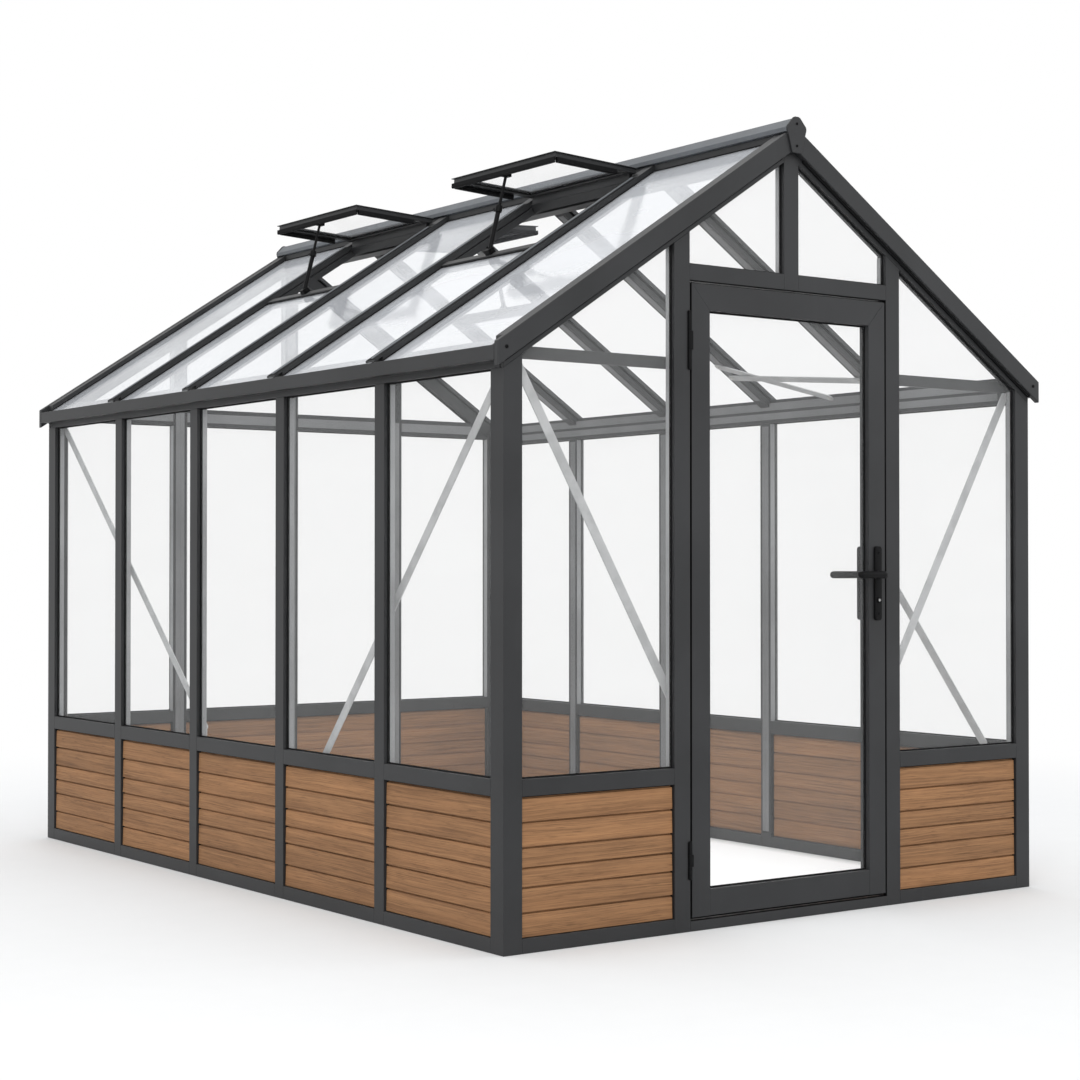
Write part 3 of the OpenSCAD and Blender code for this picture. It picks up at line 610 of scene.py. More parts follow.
def pane_outline(points):
    """A pane's plane: centre, normal, two axes in it, the outline in them, and half its thickness."""
    cloud = np.array([tuple(point) for point in points])
    centre = (cloud.min(0) + cloud.max(0)) / 2
    spread = np.linalg.eigh(np.cov((cloud - centre).T))[1]
    normal = Vector(spread[:, 0])
    outward = Vector((centre[0], centre[1], 0.0)) + Vector((0, 0, 3.0 if abs(normal.z) > 0.3 else 0.0))
    if normal.dot(outward) < 0:
        normal = -normal
    first, second = across(normal)
    centre = Vector(centre)
    half = max((point - centre).dot(normal) for point in points)
    flat = [((point - centre).dot(first), (point - centre).dot(second)) for point in points
            if (point - centre).dot(normal) > 0]
    around = sorted(set((round(u, 5), round(v, 5)) for u, v in flat),
                    key=lambda p: math.atan2(p[1], p[0]))
    return centre, normal, first, second, around, half


def inset(outline, distances):
    """A convex outline moved inwards by a distance for each edge (edge i runs from i to i + 1)."""
    count = len(outline)
    lines = []
    for i in range(count):
        a, b = Vector(outline[i]), Vector(outline[(i + 1) % count])
        along = (b - a).normalized()
        inward = Vector((-along.y, along.x))
        lines.append((a + inward * distances[i], along))
    moved = []
    for i in range(count):
        (p, d), (q, e) = lines[i - 1], lines[i]
        cross = d.x * e.y - d.y * e.x
        moved.append(p + d * (((q - p).x * e.y - (q - p).y * e.x) / cross))
    return moved


def gasket_loop(bm, points, sizes, open_foot):
    """Rubber strips round a pane, on both of its faces; an open foot stands out of the groove."""
    centre, normal, first, second, outline, half = pane_outline(points)
    width, height = sizes.gasket_width, sizes.gasket_height
    count = len(outline)
    start = [sizes.pane_seat] * count
    if open_foot:
        heights = [(centre + first * u + second * v).z for u, v in outline]
        foot = min(range(count), key=lambda i: heights[i] + heights[(i + 1) % count])
        start[foot] = 0.0
    shape = [(0.0, 0.0), (0.0, height), (0.25 * width, 1.08 * height), (0.62 * width, 0.82 * height),
             (0.92 * width, 0.30 * height), (width, 0.0)]
    for side in (1.0, -1.0):
        rings = []
        for inward, rise in shape:
            flat = inset(outline, [far + inward for far in start])
            rings.append([centre + first * p.x + second * p.y + normal * side * (half + rise) for p in flat])
        loft(bm, rings, looped=True)


class GREENHOUSE_OT_stage(bpy.types.Operator):
    """Pale floor, white surroundings, soft lights and the camera"""

    bl_idname = "greenhouse.stage"
    bl_label = "Stage"
    lamps = (("key", (-6.0, -7.5, 6.0), 5.0, 345.0, (1.0, 0.985, 0.965)),
             ("overhead", (0.0, 0.0, 8.5), 6.0, 170.0, (0.985, 0.992, 1.0)),
             ("side_fill", (7.0, -5.0, 4.0), 5.0, 50.0, (0.95, 0.975, 1.0)),
             ("back_fill", (2.5, 8.0, 5.5), 5.0, 110.0, (0.97, 0.985, 1.0)))
    aim = Vector((0.0, 0.0, 1.1))
    floor_half = 60.0
    floor_drop = 0.0005

    def execute(self, context):
        scene = context.scene
        scene.view_settings.view_transform = "Standard"
        self.surroundings(scene)
        self.floor(scene)
        for row in self.lamps:
            lamp = self.lamp(scene, *row)
            lamp.visible_glossy = lamp.name != "back_fill"
        self.camera(scene)
        return {"FINISHED"}

    def surroundings(self, scene):
        scene.world = scene.world or bpy.data.worlds.new("surroundings")
        sky = Finish("surroundings", scene.world)
        soft = sky.node("ShaderNodeBackground", None, {"Color": (0.97, 0.985, 1.0, 1.0), "Strength": 0.86})
        white = sky.node("ShaderNodeBackground", None, {"Color": (*WHITE, 1.0), "Strength": 1.0})
        both = sky.node("ShaderNodeMixShader", None, {0: sky.seen(), 1: soft, 2: white})
        sky.node("ShaderNodeOutputWorld", None, {"Surface": both})

    def floor(self, scene):
        finish = Finish("studio_floor")
        place = finish.place()
        shade = finish.mix(finish.noise(place, 9.0, 4.0), scaled(WHITE, 0.69), scaled(WHITE, 0.71))
        seen = finish.seen()
        away = finish.node("ShaderNodeVectorMath", {"operation": "LENGTH"}, {0: place}, out="Value")
        x, y = (finish.node("ShaderNodeMath", {"operation": "ABSOLUTE"},
                            {0: finish.node("ShaderNodeSeparateXYZ", None, {0: place}, out=i)})
                for i in range(2))
        indoors = (1.0 - x.between(0.95, 1.05)) * (1.0 - y.between(1.45, 1.55))
        # Inside the house the floor glows more for the eye: painted light that lifts the house's shade on the
        # floor.
        glow = finish.mix(seen * (0.13 + 0.37 * indoors), BLACK, WHITE)
        near = finish.node("ShaderNodeBsdfPrincipled", None,
                           {"Base Color": shade, "Roughness": 0.92, "Specular IOR Level": 0.1,
                            "Emission Color": glow, "Emission Strength": 1.0})
        far = finish.node("ShaderNodeEmission", None, {"Color": (*WHITE, 1.0), "Strength": 1.0})
        both = finish.node("ShaderNodeMixShader", None, {0: seen * away.between(2.8, 5.5), 1: near, 2: far})
        finish.node("ShaderNodeOutputMaterial", None, {"Surface": both})
        bm = bmesh.new()
        bmesh.ops.create_grid(bm, x_segments=2, y_segments=2, size=self.floor_half)
        mesh = bpy.data.meshes.new("studio_floor")
        bm.to_mesh(mesh)
        bm.free()
        mesh.materials.append(finish.owner)
        floor = bpy.data.objects.new("studio_floor", mesh)
        floor.location.z = CAD_BOX[0].z - self.floor_drop
        scene.collection.objects.link(floor)

    def lamp(self, scene, name, place, size, watts, colour):
        light = bpy.data.lights.new(name, "AREA")
        light.shape = "DISK"
        light.size = size
        light.energy = watts
        light.color = colour
        lamp = bpy.data.objects.new(name, light)
        lamp.location = place
        lamp.rotation_euler = (self.aim - Vector(place)).to_track_quat("-Z", "Y").to_euler()
        scene.collection.objects.link(lamp)
        return lamp

    def camera(self, scene):
        """The camera that was fitted to the photograph."""
        eye = bpy.data.cameras.new("camera")
        eye.lens = 69.77
        eye.sensor_width = 36.0
        eye.clip_end = 200.0
        camera = bpy.data.objects.new("camera", eye)
        camera.location = (-4.400, -6.316, 1.0734)
        camera.rotation_euler = (math.radians(90.7494), 0.0, math.radians(-36.0235))
        scene.collection.objects.link(camera)
        scene.camera = camera


class GREENHOUSE_OT_profiles(bpy.types.Operator):
    """Anthracite powder coat and rounded edges on the metal profiles"""

    bl_idname = "greenhouse.profiles"
    bl_label = "Metal profiles"

    def execute(self, context):
        sizes, colours = chosen(context)
        names = [node for node, slot in SLOT_OF.items() if slot == "frame"]
        dress(names, powder_coat("anthracite_coat", colours.coat))
        # The ridge cap gets the lighter coat: painted light on its upward faces.
        dress(["ridge_cap"], powder_coat("ridge_coat", colours.cap_coat, 0.46))
        for name in names:
            width = sizes.barge_round if name == "barge_boards" else sizes.edge_round
            soften(name, width, whole=name != "vent_frames")
        return {"FINISHED"}


class GREENHOUSE_OT_glazing(bpy.types.Operator):
    """Wall, roof, vent and door panes"""

    bl_idname = "greenhouse.glazing"
    bl_label = "Glazing"

    def execute(self, context):
        colours = chosen(context)[1]
        # The three numbers are the painted reflection: its base, its growth at a glance, and the painted sky
        # reflection on upward panes.
        rows = ((WALL_PANES + ["door_glass"], "wall_glass", colours.wall_glass, (0.060, 0.04, 0.0)),
                (ROOF_PANES, "roof_glass", colours.roof_glass, (0.035, 0.04, 0.46)),
                (["vent_glass"], "vent_glass", colours.roof_glass, (0.055, 0.06, 0.12)))
        for nodes, name, colour, reflection_veils in rows:
            dress(nodes, clear_glass(name, colour, *reflection_veils))
            for node in nodes:
                frame["nodes"][node].visible_shadow = False
        return {"FINISHED"}


class GREENHOUSE_OT_gaskets(bpy.types.Operator):
    """Black rubber round every pane"""

    bl_idname = "greenhouse.gaskets"
    bl_label = "Glazing gaskets"

    def execute(self, context):
        sizes, colours = chosen(context)
        rubber = gasket_rubber("glazing_rubber", colours.rubber)
        rows = (("gaskets_walls", WALL_PANES, "house", False),
                ("gaskets_roof", ROOF_PANES, "house", True),
                ("gaskets_vents", ["vent_glass"], "house", False),
                ("gaskets_door", ["door_glass"], "door", False))
        for name, nodes, body, open_foot in rows:
            bm = bmesh.new()
            for points in solids_of(nodes):
                gasket_loop(bm, points, sizes, open_foot)
            piece_from(bm, name, rubber, body)
        return {"FINISHED"}


class GREENHOUSE_OT_boards(bpy.types.Operator):
    """Cladding boards in place of the plain panels, and black rubber in the gaps round them as painted shade
    """

    bl_idname = "greenhouse.boards"
    bl_label = "Cladding boards"
    heights = (0.070, 0.071, 0.057, 0.055, 0.071, 0.070)
    clear = 0.0035  # gap at the ends and the head of a panel
    slack = 0.0002  # gap between boards that touch
    steps = 6
    tongue_front = 0.007
    tongue_back = 0.005
    ribs = ((-0.0045, 0.0), (0.0045, 0.0), (0.0045, 0.4), (0.0030, 1.0), (0.0010, 1.0), (0.0, 0.7),
            (-0.0010, 1.0), (-0.0030, 1.0), (-0.0045, 0.4))

    def execute(self, context):
        sizes, colours = chosen(context)
        wood = board_wood("cladding_wood", colours.board_light, colours.board_dark)
        rubber = gasket_rubber("board_rubber", colours.rubber)
        chance = random.Random(sizes.seed)
        seals = bmesh.new()
        for node in ("cladding_sides", "cladding_front", "cladding_back"):
            bm = bmesh.new()
            bm.verts.layers.float_vector.new("grain")
            bm.verts.layers.float.new("tone")
            for points in solids(node):
                low, high = corners(points)
                self.panel(bm, low, high, sizes, chance)
                self.seal(seals, low, high)
            boards = piece_from(bm, node.replace("cladding", "boards"), wood, "house")
            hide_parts(node)
        piece_from(seals, "board_seals", rubber, "house")
        return {"FINISHED"}

    def panel(self, bm, low, high, sizes, chance):
        grain, tone = bm.verts.layers.float_vector["grain"], bm.verts.layers.float["tone"]
        along, out = wall_axes(low, high)
        sign = side_of(low, high, out)
        face = face_of(low, high, out, sign)
        start, end = low[along] + self.clear, high[along] - self.clear
        stations = [start + self.slack + (end - start - 2 * self.slack) * i / self.steps
                    for i in range(self.steps + 1)]
        scale = (high.z - low.z - self.clear) / sum(self.heights)
        top = high.z - self.clear
        for height in self.heights:
            foot = top - height * scale
            cut, shade = chance.random(), chance.random()
            shape = self.profile(sizes, high[out] - low[out], foot, top)
            rows = loft(bm, [[wall_point(along, out, t, face + sign * depth, z) for depth, z in shape]
                             for t in stations])
            for vertex in (vertex for row in rows for vertex in row):
                vertex[grain] = (vertex.co[along] + 11.0 * cut, vertex.co[out] - face + 3.0 * cut,
                                 vertex.co.z + 5.0 * cut)
                vertex[tone] = shade
            top = foot

    def profile(self, sizes, thick, foot, top):
        """A board's section: (depth, height) points, with a tongue above and below."""
        groove, lean = sizes.board_groove, sizes.board_slope
        z0, z1 = foot + 0.35 * groove, top - 0.65 * groove
        tongue, back = -self.tongue_front, self.tongue_back - thick
        shape = [(back, foot + self.slack), (tongue, foot + self.slack), (tongue, z0), (lean - 0.0016, z0),
                 (lean - 0.0004, z0 + 0.0007), (lean, z0 + 0.0020), (0.5 * lean, (z0 + z1) / 2),
                 (0.0004, z1 - 0.0024), (-0.0005, z1 - 0.0010), (-0.0018, z1), (tongue, z1),
                 (tongue, top - self.slack), (back, top - self.slack), (back, z1),
                 (-thick + 0.0012, z1), (-thick + 0.0004, z1 - 0.0008), (-thick, z1 - 0.0024),
                 (-thick, z0 + 0.0024), (-thick + 0.0004, z0 + 0.0008), (-thick + 0.0012, z0), (back, z0)]
        return list(reversed(shape))

    def seal(self, bm, low, high):
        """Ribbed black rubber in the gaps at both ends and over the head of a panel: painted shade along the
        gaps.
        """
        along, out = wall_axes(low, high)
        centre = (low[out] + high[out]) / 2
        for edge, step in ((low[along], self.clear), (high[along], -self.clear)):
            loft(bm, [[wall_point(along, out, edge + step * b, centre + a, z) for a, b in self.ribs]
                      for z in (low.z, high.z - self.clear)])
        loft(bm, [[wall_point(along, out, t, centre + a, high.z - self.clear * b) for a, b in self.ribs]
                  for t in (low[along], high[along])])


class GREENHOUSE_OT_beads(bpy.types.Operator):
    """Pale glazing beads on the flanks of the posts, inside the wall panes"""

    bl_idname = "greenhouse.beads"
    bl_label = "Glazing beads"
    deep = 0.0185
    shortest = 0.06

    def execute(self, context):
        sizes, colours = chosen(context)
        grey = powder_coat("bead_grey", colours.bead, 0.5)
        bm = bmesh.new()
        for points in solids_of(WALL_PANES):
            self.pane(bm, points, sizes)
        piece_from(bm, "glazing_beads", grey, "house", 20.0)
        return {"FINISHED"}

    def pane(self, bm, points, sizes):
        low, high = corners(points)
        along, out = wall_axes(low, high)
        inward = -side_of(low, high, out)
        face = face_of(low, high, out, inward)
        width, deep, seat = sizes.bead_width, self.deep, sizes.pane_seat
        shape = [(0.0002, 0.0004), (width, 0.0004), (width, 0.0030), (0.55 * width, deep - 0.0035),
                 (0.45 * width, deep), (0.0002, deep)]
        for edge, step in ((low[along], 1.0), (high[along], -1.0)):
            heights = [p.z for p in points if abs(p[along] - edge) < NEAR]
            z0, z1 = min(heights) + seat, max(heights) - 1.4 * seat
            if z1 - z0 >= self.shortest:
                loft(bm, [[wall_point(along, out, edge + step * (seat + a), face + inward * b, z)
                           for a, b in shape] for z in (z0, z1)])


class GREENHOUSE_OT_liners(bpy.types.Operator):
    """Pale cover strips on the inner faces of posts, eaves, back rail and roof bars"""

    bl_idname = "greenhouse.liners"
    bl_label = "Inner liners"
    rise = 0.0015
    shortest = 0.05
    brace_half = 0.020
    brace_end = 0.16
    post_foot = 0.060
    post_head = (0.012, 0.30)  # at the eaves, and under the back rafters
    eaves_end = 0.10
    rail_end = 0.09
    rail_gap = 0.002

    def execute(self, context):
        grey = powder_coat("liner_grey", chosen(context)[1].liner, 0.5)
        braces = [self.brace_line(points) for points in solids("braces")
                  if wall_axes(*corners(points))[1] == 0]
        bm = bmesh.new()
        for node, out, crossing in (("posts_left", 0, braces), ("posts_right", 0, braces),
                                    ("posts_back", 1, [])):
            for points in solids(node):
                self.post(bm, points, out, crossing)
        for points in solids("rail_back"):
            self.rail(bm, points)
        for points in solids("eaves_beams"):
            self.eaves(bm, points, braces)
        for points in solids_of(ROOF_BARS):
            self.bar(bm, points)
        piece_from(bm, "inner_liners", grey, "house", 20.0)
        return {"FINISHED"}

    def brace_line(self, points):
        """A side brace's box, its middle, its slope and half its height."""
        low, high = corners(points)
        centre, line = long_axis(points)[1:]
        slope = line[2] / line[1]
        return low, high, centre, slope, self.brace_half * math.hypot(1.0, slope)

    def cover(self, half, rise):
        """Section of a flat cover strip: (across, up) points."""
        return [(-half, 0.0), (half, 0.0), (half, 0.6 * rise), (half - 0.0015, rise),
                (-half + 0.0015, rise), (-half, 0.6 * rise)]

    def post(self, bm, points, out, braces):
        """A grooved strip up a post, left out where a brace crosses it."""
        low, high = corners(points)
        along = 1 - out
        inward = -side_of(low, high, out)
        face = face_of(low, high, out, inward)
        centre, half = (low[along] + high[along]) / 2, 0.32 * (high[along] - low[along])
        foot, head = low.z + self.post_foot, high.z - self.post_head[out]
        gaps = []
        for start, end, mid, slope, reach in braces:
            if mid[0] * face < 0 or start.y > centre + half or end.y < centre - half:
                continue
            heights = [mid[2] + slope * (centre + s * half - mid[1]) for s in (-1, 1)]
            gaps.append((min(heights) - reach, max(heights) + reach))
        rise = self.rise
        shape = ((-half, 0.0), (half, 0.0), (half, 0.6 * rise), (half - 0.0015, rise), (0.12 * half, rise),
                 (0.0, 0.3 * rise), (-0.12 * half, rise), (-half + 0.0015, rise), (-half, 0.6 * rise))
        for gap in sorted(gaps) + [(head, head)]:
            if gap[0] - foot > self.shortest:
                loft(bm, [[wall_point(along, out, centre + a, face + inward * b, z) for a, b in shape]
                          for z in (foot, min(gap[0], head))])
            foot = gap[1]

    def eaves(self, bm, points, braces):
        """Two strips along the inner face, left out where a brace is fixed to it."""
        low, high = corners(points)
        inward = -side_of(low, high, 0)
        face = face_of(low, high, 0, inward)
        heights = [p.z for p in points if abs(p.x - face) < 0.0005]
        foot, tall = min(heights), max(heights) - min(heights)
        y0, y1 = low.y + self.eaves_end, high.y - self.eaves_end
        for start, end, mid, _, _ in braces:
            if mid[0] * face > 0 and end.z > foot:
                if mid[1] < 0:
                    y0 = max(y0, start.y + self.brace_end)
                else:
                    y1 = min(y1, end.y - self.brace_end)
        for start, end in ((0.14, 0.42), (0.54, 0.86)):
            z, half = foot + tall * (start + end) / 2, tall * (end - start) / 2
            loft(bm, [[Vector((face + inward * b, y, z + a)) for a, b in self.cover(half, self.rise)]
                      for y in (y0, y1)])

    def rail(self, bm, points):
        low, high = corners(points)
        z, half = (low.z + high.z) / 2, 0.28 * (high.z - low.z)
        x0 = low.x + (self.rail_end if low.x < -0.9 else self.rail_gap)
        x1 = high.x - (self.rail_end if high.x > 0.9 else self.rail_gap)
        loft(bm, [[Vector((x, low.y - b, z + a)) for a, b in self.cover(half, self.rise)] for x in (x0, x1)])

    def bar(self, bm, points):
        low, high = corners(points)
        sign = side_of(low, high, 0)
        head, foot = bar_underside(points)
        shape = self.cover(0.30 * (high.y - low.y), -self.rise)
        slope_strip(bm, head.x + sign * 0.03, foot.x - sign * 0.04, (low.y + high.y) / 2, shape,
                    slope_line(head, foot)[1])


class GREENHOUSE_OT_vent_rims(bpy.types.Operator):
    """Deep rubber rims under the free edges of the vent leaves"""

    bl_idname = "greenhouse.vent_rims"
    bl_label = "Vent rims"
    depth = 0.017
    hinge_end = 0.085

    def execute(self, context):
        rubber = gasket_rubber("rim_rubber", chosen(context)[1].rubber)
        frames = solids("vent_frames")
        bm = bmesh.new()
        for points in solids("vent_glass"):
            place = middle(points)
            leaf = min(frames, key=lambda ring: (middle(ring) - place).length)
            self.rim(bm, leaf, *pane_outline(points)[:4])
        piece_from(bm, "vent_rims", rubber, "house", 25.0)
        return {"FINISHED"}

    def rim(self, bm, leaf, centre, normal, first, second):
        slope = first if abs(first.x) > abs(second.x) else second
        if slope.x * centre.x < 0:
            slope = -slope
        side = normal.cross(slope)
        far = max((p - centre).dot(slope) for p in leaf)
        near = min((p - centre).dot(slope) for p in leaf) + self.hinge_end
        wide = max(abs((p - centre).dot(side)) for p in leaf)
        under = min((p - centre).dot(normal) for p in leaf if (p - centre).dot(slope) > far - 0.05)

        def at(along, out, up):
            return centre + slope * along + side * out + normal * (under + up * self.depth)

        shape = ((0.0015, 0.0), (0.0135, 0.0), (0.0135, -0.75), (0.0120, -1.0), (0.0035, -1.0),
                 (0.0015, -0.75))
        loft(bm, [[at(far - a, s * (wide - a), b) for a, b in shape] for s in (-1.0, 1.0)])
        for s in (-1.0, 1.0):
            loft(bm, [[at(along, s * (wide - a), b) for a, b in shape] for along in (near, far - 0.0140)])


class GREENHOUSE_OT_roof_trim(bpy.types.Operator):
    """Black rubber pads as painted dark reflection and raised caps in a lighter coat as painted highlight on
    the roof bars, and black strips under the barge boards as painted shadow
    """

    bl_idname = "greenhouse.roof_trim"
    bl_label = "Roof bar caps"
    ridge_clear = 0.075
    seal_span = (0.045, 1.079)

    def execute(self, context):
        sizes, colours = chosen(context)
        rubber = gasket_rubber("trim_rubber", colours.rubber)
        coat = powder_coat("bar_cap_coat", colours.cap_coat, 0.40)
        pads, caps, seals = bmesh.new(), bmesh.new(), bmesh.new()
        for points in solids_of(ROOF_BARS):
            self.bar(pads, caps, points, sizes.bar_cap / 2)
        for points in solids("barge_boards"):
            self.seal(seals, points)
        piece_from(pads, "bar_pads", rubber, "house")
        piece_from(caps, "bar_caps", coat, "house")
        piece_from(seals, "barge_seals", rubber, "house")
        return {"FINISHED"}

    def bar(self, pads, caps, points, cap):
        low, high = corners(points)
        sign = side_of(low, high, 0)
        y, half = (low.y + high.y) / 2, (high.y - low.y) / 2
        head = max(points, key=lambda p: p.z)
        foot = max(far_end(points, 0.0005), key=lambda p: p.z)
        height = slope_line(head, foot)[1]
        x0, x1 = head.x + sign * self.ridge_clear, foot.x - sign * 0.001
        dark_reflection_pad = [(-half + 0.001, 0.0), (half - 0.001, 0.0), (half - 0.001, 0.0006), (half - 0.004, 0.0011),
               (-half + 0.004, 0.0011), (-half + 0.001, 0.0006)]
        highlight_profile = [(-cap, 0.0008), (cap, 0.0008), (cap, 0.0022), (0.7 * cap, 0.0038), (0.0, 0.0044),
                 (-0.7 * cap, 0.0038), (-cap, 0.0022)]
        # Black rubber over the bar's top: painted dark reflection on the bar's top face.
        slope_strip(pads, x0, x1, y, dark_reflection_pad, height)
        # The raised cap in the lighter coat: a painted highlight along each bar.
        slope_strip(caps, x0, x1 - sign * 0.004, y, highlight_profile, height)

    def seal(self, seals, points):
        low, high = corners(points)
        sign, out = side_of(low, high, 0), side_of(low, high, 1)
        head = min(points, key=lambda p: (abs(p.x), p.z))
        foot = min(far_end(points, 0.0005), key=lambda p: p.z)
        # Black strip along the board's lower edge: painted shadow under the barge board.
        shape = [(0.0, 0.0), (0.0090 * out, 0.0), (0.0090 * out, -0.0035), (0.0075 * out, -0.0052),
                 (0.0, -0.0052)]
        x0, x1 = (sign * x for x in self.seal_span)
        slope_strip(seals, x0, x1, face_of(low, high, 1, -out), shape, slope_line(head, foot)[1])


class GREENHOUSE_OT_roof_ties(bpy.types.Operator):
    """Two light flat bars under the right slope, bolted to the bars over the first bays"""

    bl_idname = "greenhouse.roof_ties"
    bl_label = "Roof ties"
    lines = (((1.018, -0.690), (0.815, -0.300), 0.0), ((0.948, -0.918), (0.872, -0.315), 0.0032))
    width = 0.032
    thick = 0.003
    clear = 0.0022  # room for the liners of the bars

    def execute(self, context):
        sizes, colours = chosen(context)
        flats, bolts = bmesh.new(), bmesh.new()
        rise, height = slope_line(*bar_underside(solids("roof_bars_right")[0]))
        down = Vector((rise, 0.0, -1.0)).normalized()
        for start, end, drop in self.lines:
            ends = [Vector((x, y, height(x))) + down * (self.clear + drop) for x, y in (start, end)]
            flat_bar(flats, *ends, down, self.width, self.thick)
            for point in ends:
                hex_bolt(bolts, point + down * self.thick, down, 0.8 * sizes.bolt_radius)
        aluminium = bare_aluminium("tie_aluminium", colours.brace)
        piece_from(flats, "roof_ties", aluminium, "house", 30.0)
        piece_from(bolts, "roof_tie_bolts", bright_steel("tie_steel", colours.steel), "house")
        return {"FINISHED"}


class GREENHOUSE_OT_braces(bpy.types.Operator):
    """Aluminium finish of the flat braces, with a bolt at each end"""

    bl_idname = "greenhouse.braces"
    bl_label = "Braces"
    bolt_inset = 0.030

    def execute(self, context):
        sizes, colours = chosen(context)
        dress(["braces"], bare_aluminium("mill_aluminium", colours.brace))
        soften("braces", 0.0006, 1)
        bm = bmesh.new()
        for points in solids("braces"):
            low, high = corners(points)
            out = wall_axes(low, high)[1]
            inward = -side_of(low, high, out)
            cloud, centre, line = long_axis(points)
            normal = np.zeros(3)
            normal[out] = inward
            side = np.cross(normal, line)
            reach = (cloud - centre) @ line
            spread = (cloud - centre) @ side
            axis = centre + side * (spread.min() + spread.max()) / 2
            for far in (reach.min() + self.bolt_inset, reach.max() - self.bolt_inset):
                place = axis + line * far
                place[out] = face_of(low, high, out, inward)
                hex_bolt(bm, place, normal, sizes.bolt_radius)
        piece_from(bm, "brace_bolts", bright_steel("bolt_steel", colours.steel), "house")
        return {"FINISHED"}


class GREENHOUSE_OT_frame_screws(bpy.types.Operator):
    """Coated screws on the barge boards and the front ridge end"""

    bl_idname = "greenhouse.frame_screws"
    bl_label = "Frame screws"
    barge_inset = 0.030
    ridge_inset = 0.022
    roof_pitch = math.radians(33.2)

    def execute(self, context):
        sizes, colours = chosen(context)
        coat = satin_black("screw_black", colours.ironwork)
        bm = bmesh.new()
        for points in solids("barge_boards"):
            low, high = corners(points)
            out = side_of(low, high, 1)
            place = middle(far_end(points, NEAR))
            place.x -= side_of(low, high, 0) * self.barge_inset
            place.z += self.barge_inset * math.tan(self.roof_pitch)
            place.y = face_of(low, high, 1, out)
            pan_screw(bm, place, (0, out, 0), sizes.screw_radius)
        low, high = corners(solids("ridge_ends")[0])
        for z in (high.z - self.ridge_inset, low.z + self.ridge_inset):
            pan_screw(bm, (0.0, low.y, z), (0, -1.0, 0), 0.8 * sizes.screw_radius)
        piece_from(bm, "frame_screws", coat, "house")
        return {"FINISHED"}


class GREENHOUSE_OT_stays(bpy.types.Operator):
    """Finish of the vent stays, with clamp collars and pivot pins"""

    bl_idname = "greenhouse.stays"
    bl_label = "Vent stays"
    shortest = 0.1
    end_share = 0.15
    collar_share = 0.55

    def execute(self, context):
        black = satin_black("stay_black", chosen(context)[1].ironwork)
        dress(["vent_stays"], black)
        soften("vent_stays", 0.0008)
        bm = bmesh.new()
        for points in solids("vent_stays"):
            low, high = corners(points)
            if high.z - low.z >= self.shortest:
                self.collar(bm, points, low, high)
        piece_from(bm, "stay_collars", black, "house")
        return {"FINISHED"}

    def collar(self, bm, points, low, high):
        y = (low.y + high.y) / 2
        end = self.end_share * (high.z - low.z)
        feet = middle([p for p in points if p.z < low.z + end])
        heads = middle([p for p in points if p.z > high.z - end])
        axis = (heads - feet).normalized()
        centre = feet + (heads - feet) * self.collar_share
        turned(bm, centre, axis, [(0.0085, -0.012), (0.0115, -0.011), (0.0122, -0.006), (0.0122, 0.006),
                                  (0.0105, 0.011), (0.0060, 0.012)], 20)
        turned(bm, centre + Vector((0, 0.010, 0)), (0, 1, 0),
               [(0.0042, 0.0), (0.0042, 0.010), (0.0060, 0.0115), (0.0060, 0.0165), (0.0040, 0.018)], 16)
        for place in (feet, heads):
            turned(bm, Vector((place.x, y - 0.0165, place.z)), (0, 1, 0),
                   [(0.0030, 0.0), (0.0042, 0.0008), (0.0042, 0.0322), (0.0030, 0.033)], 16)


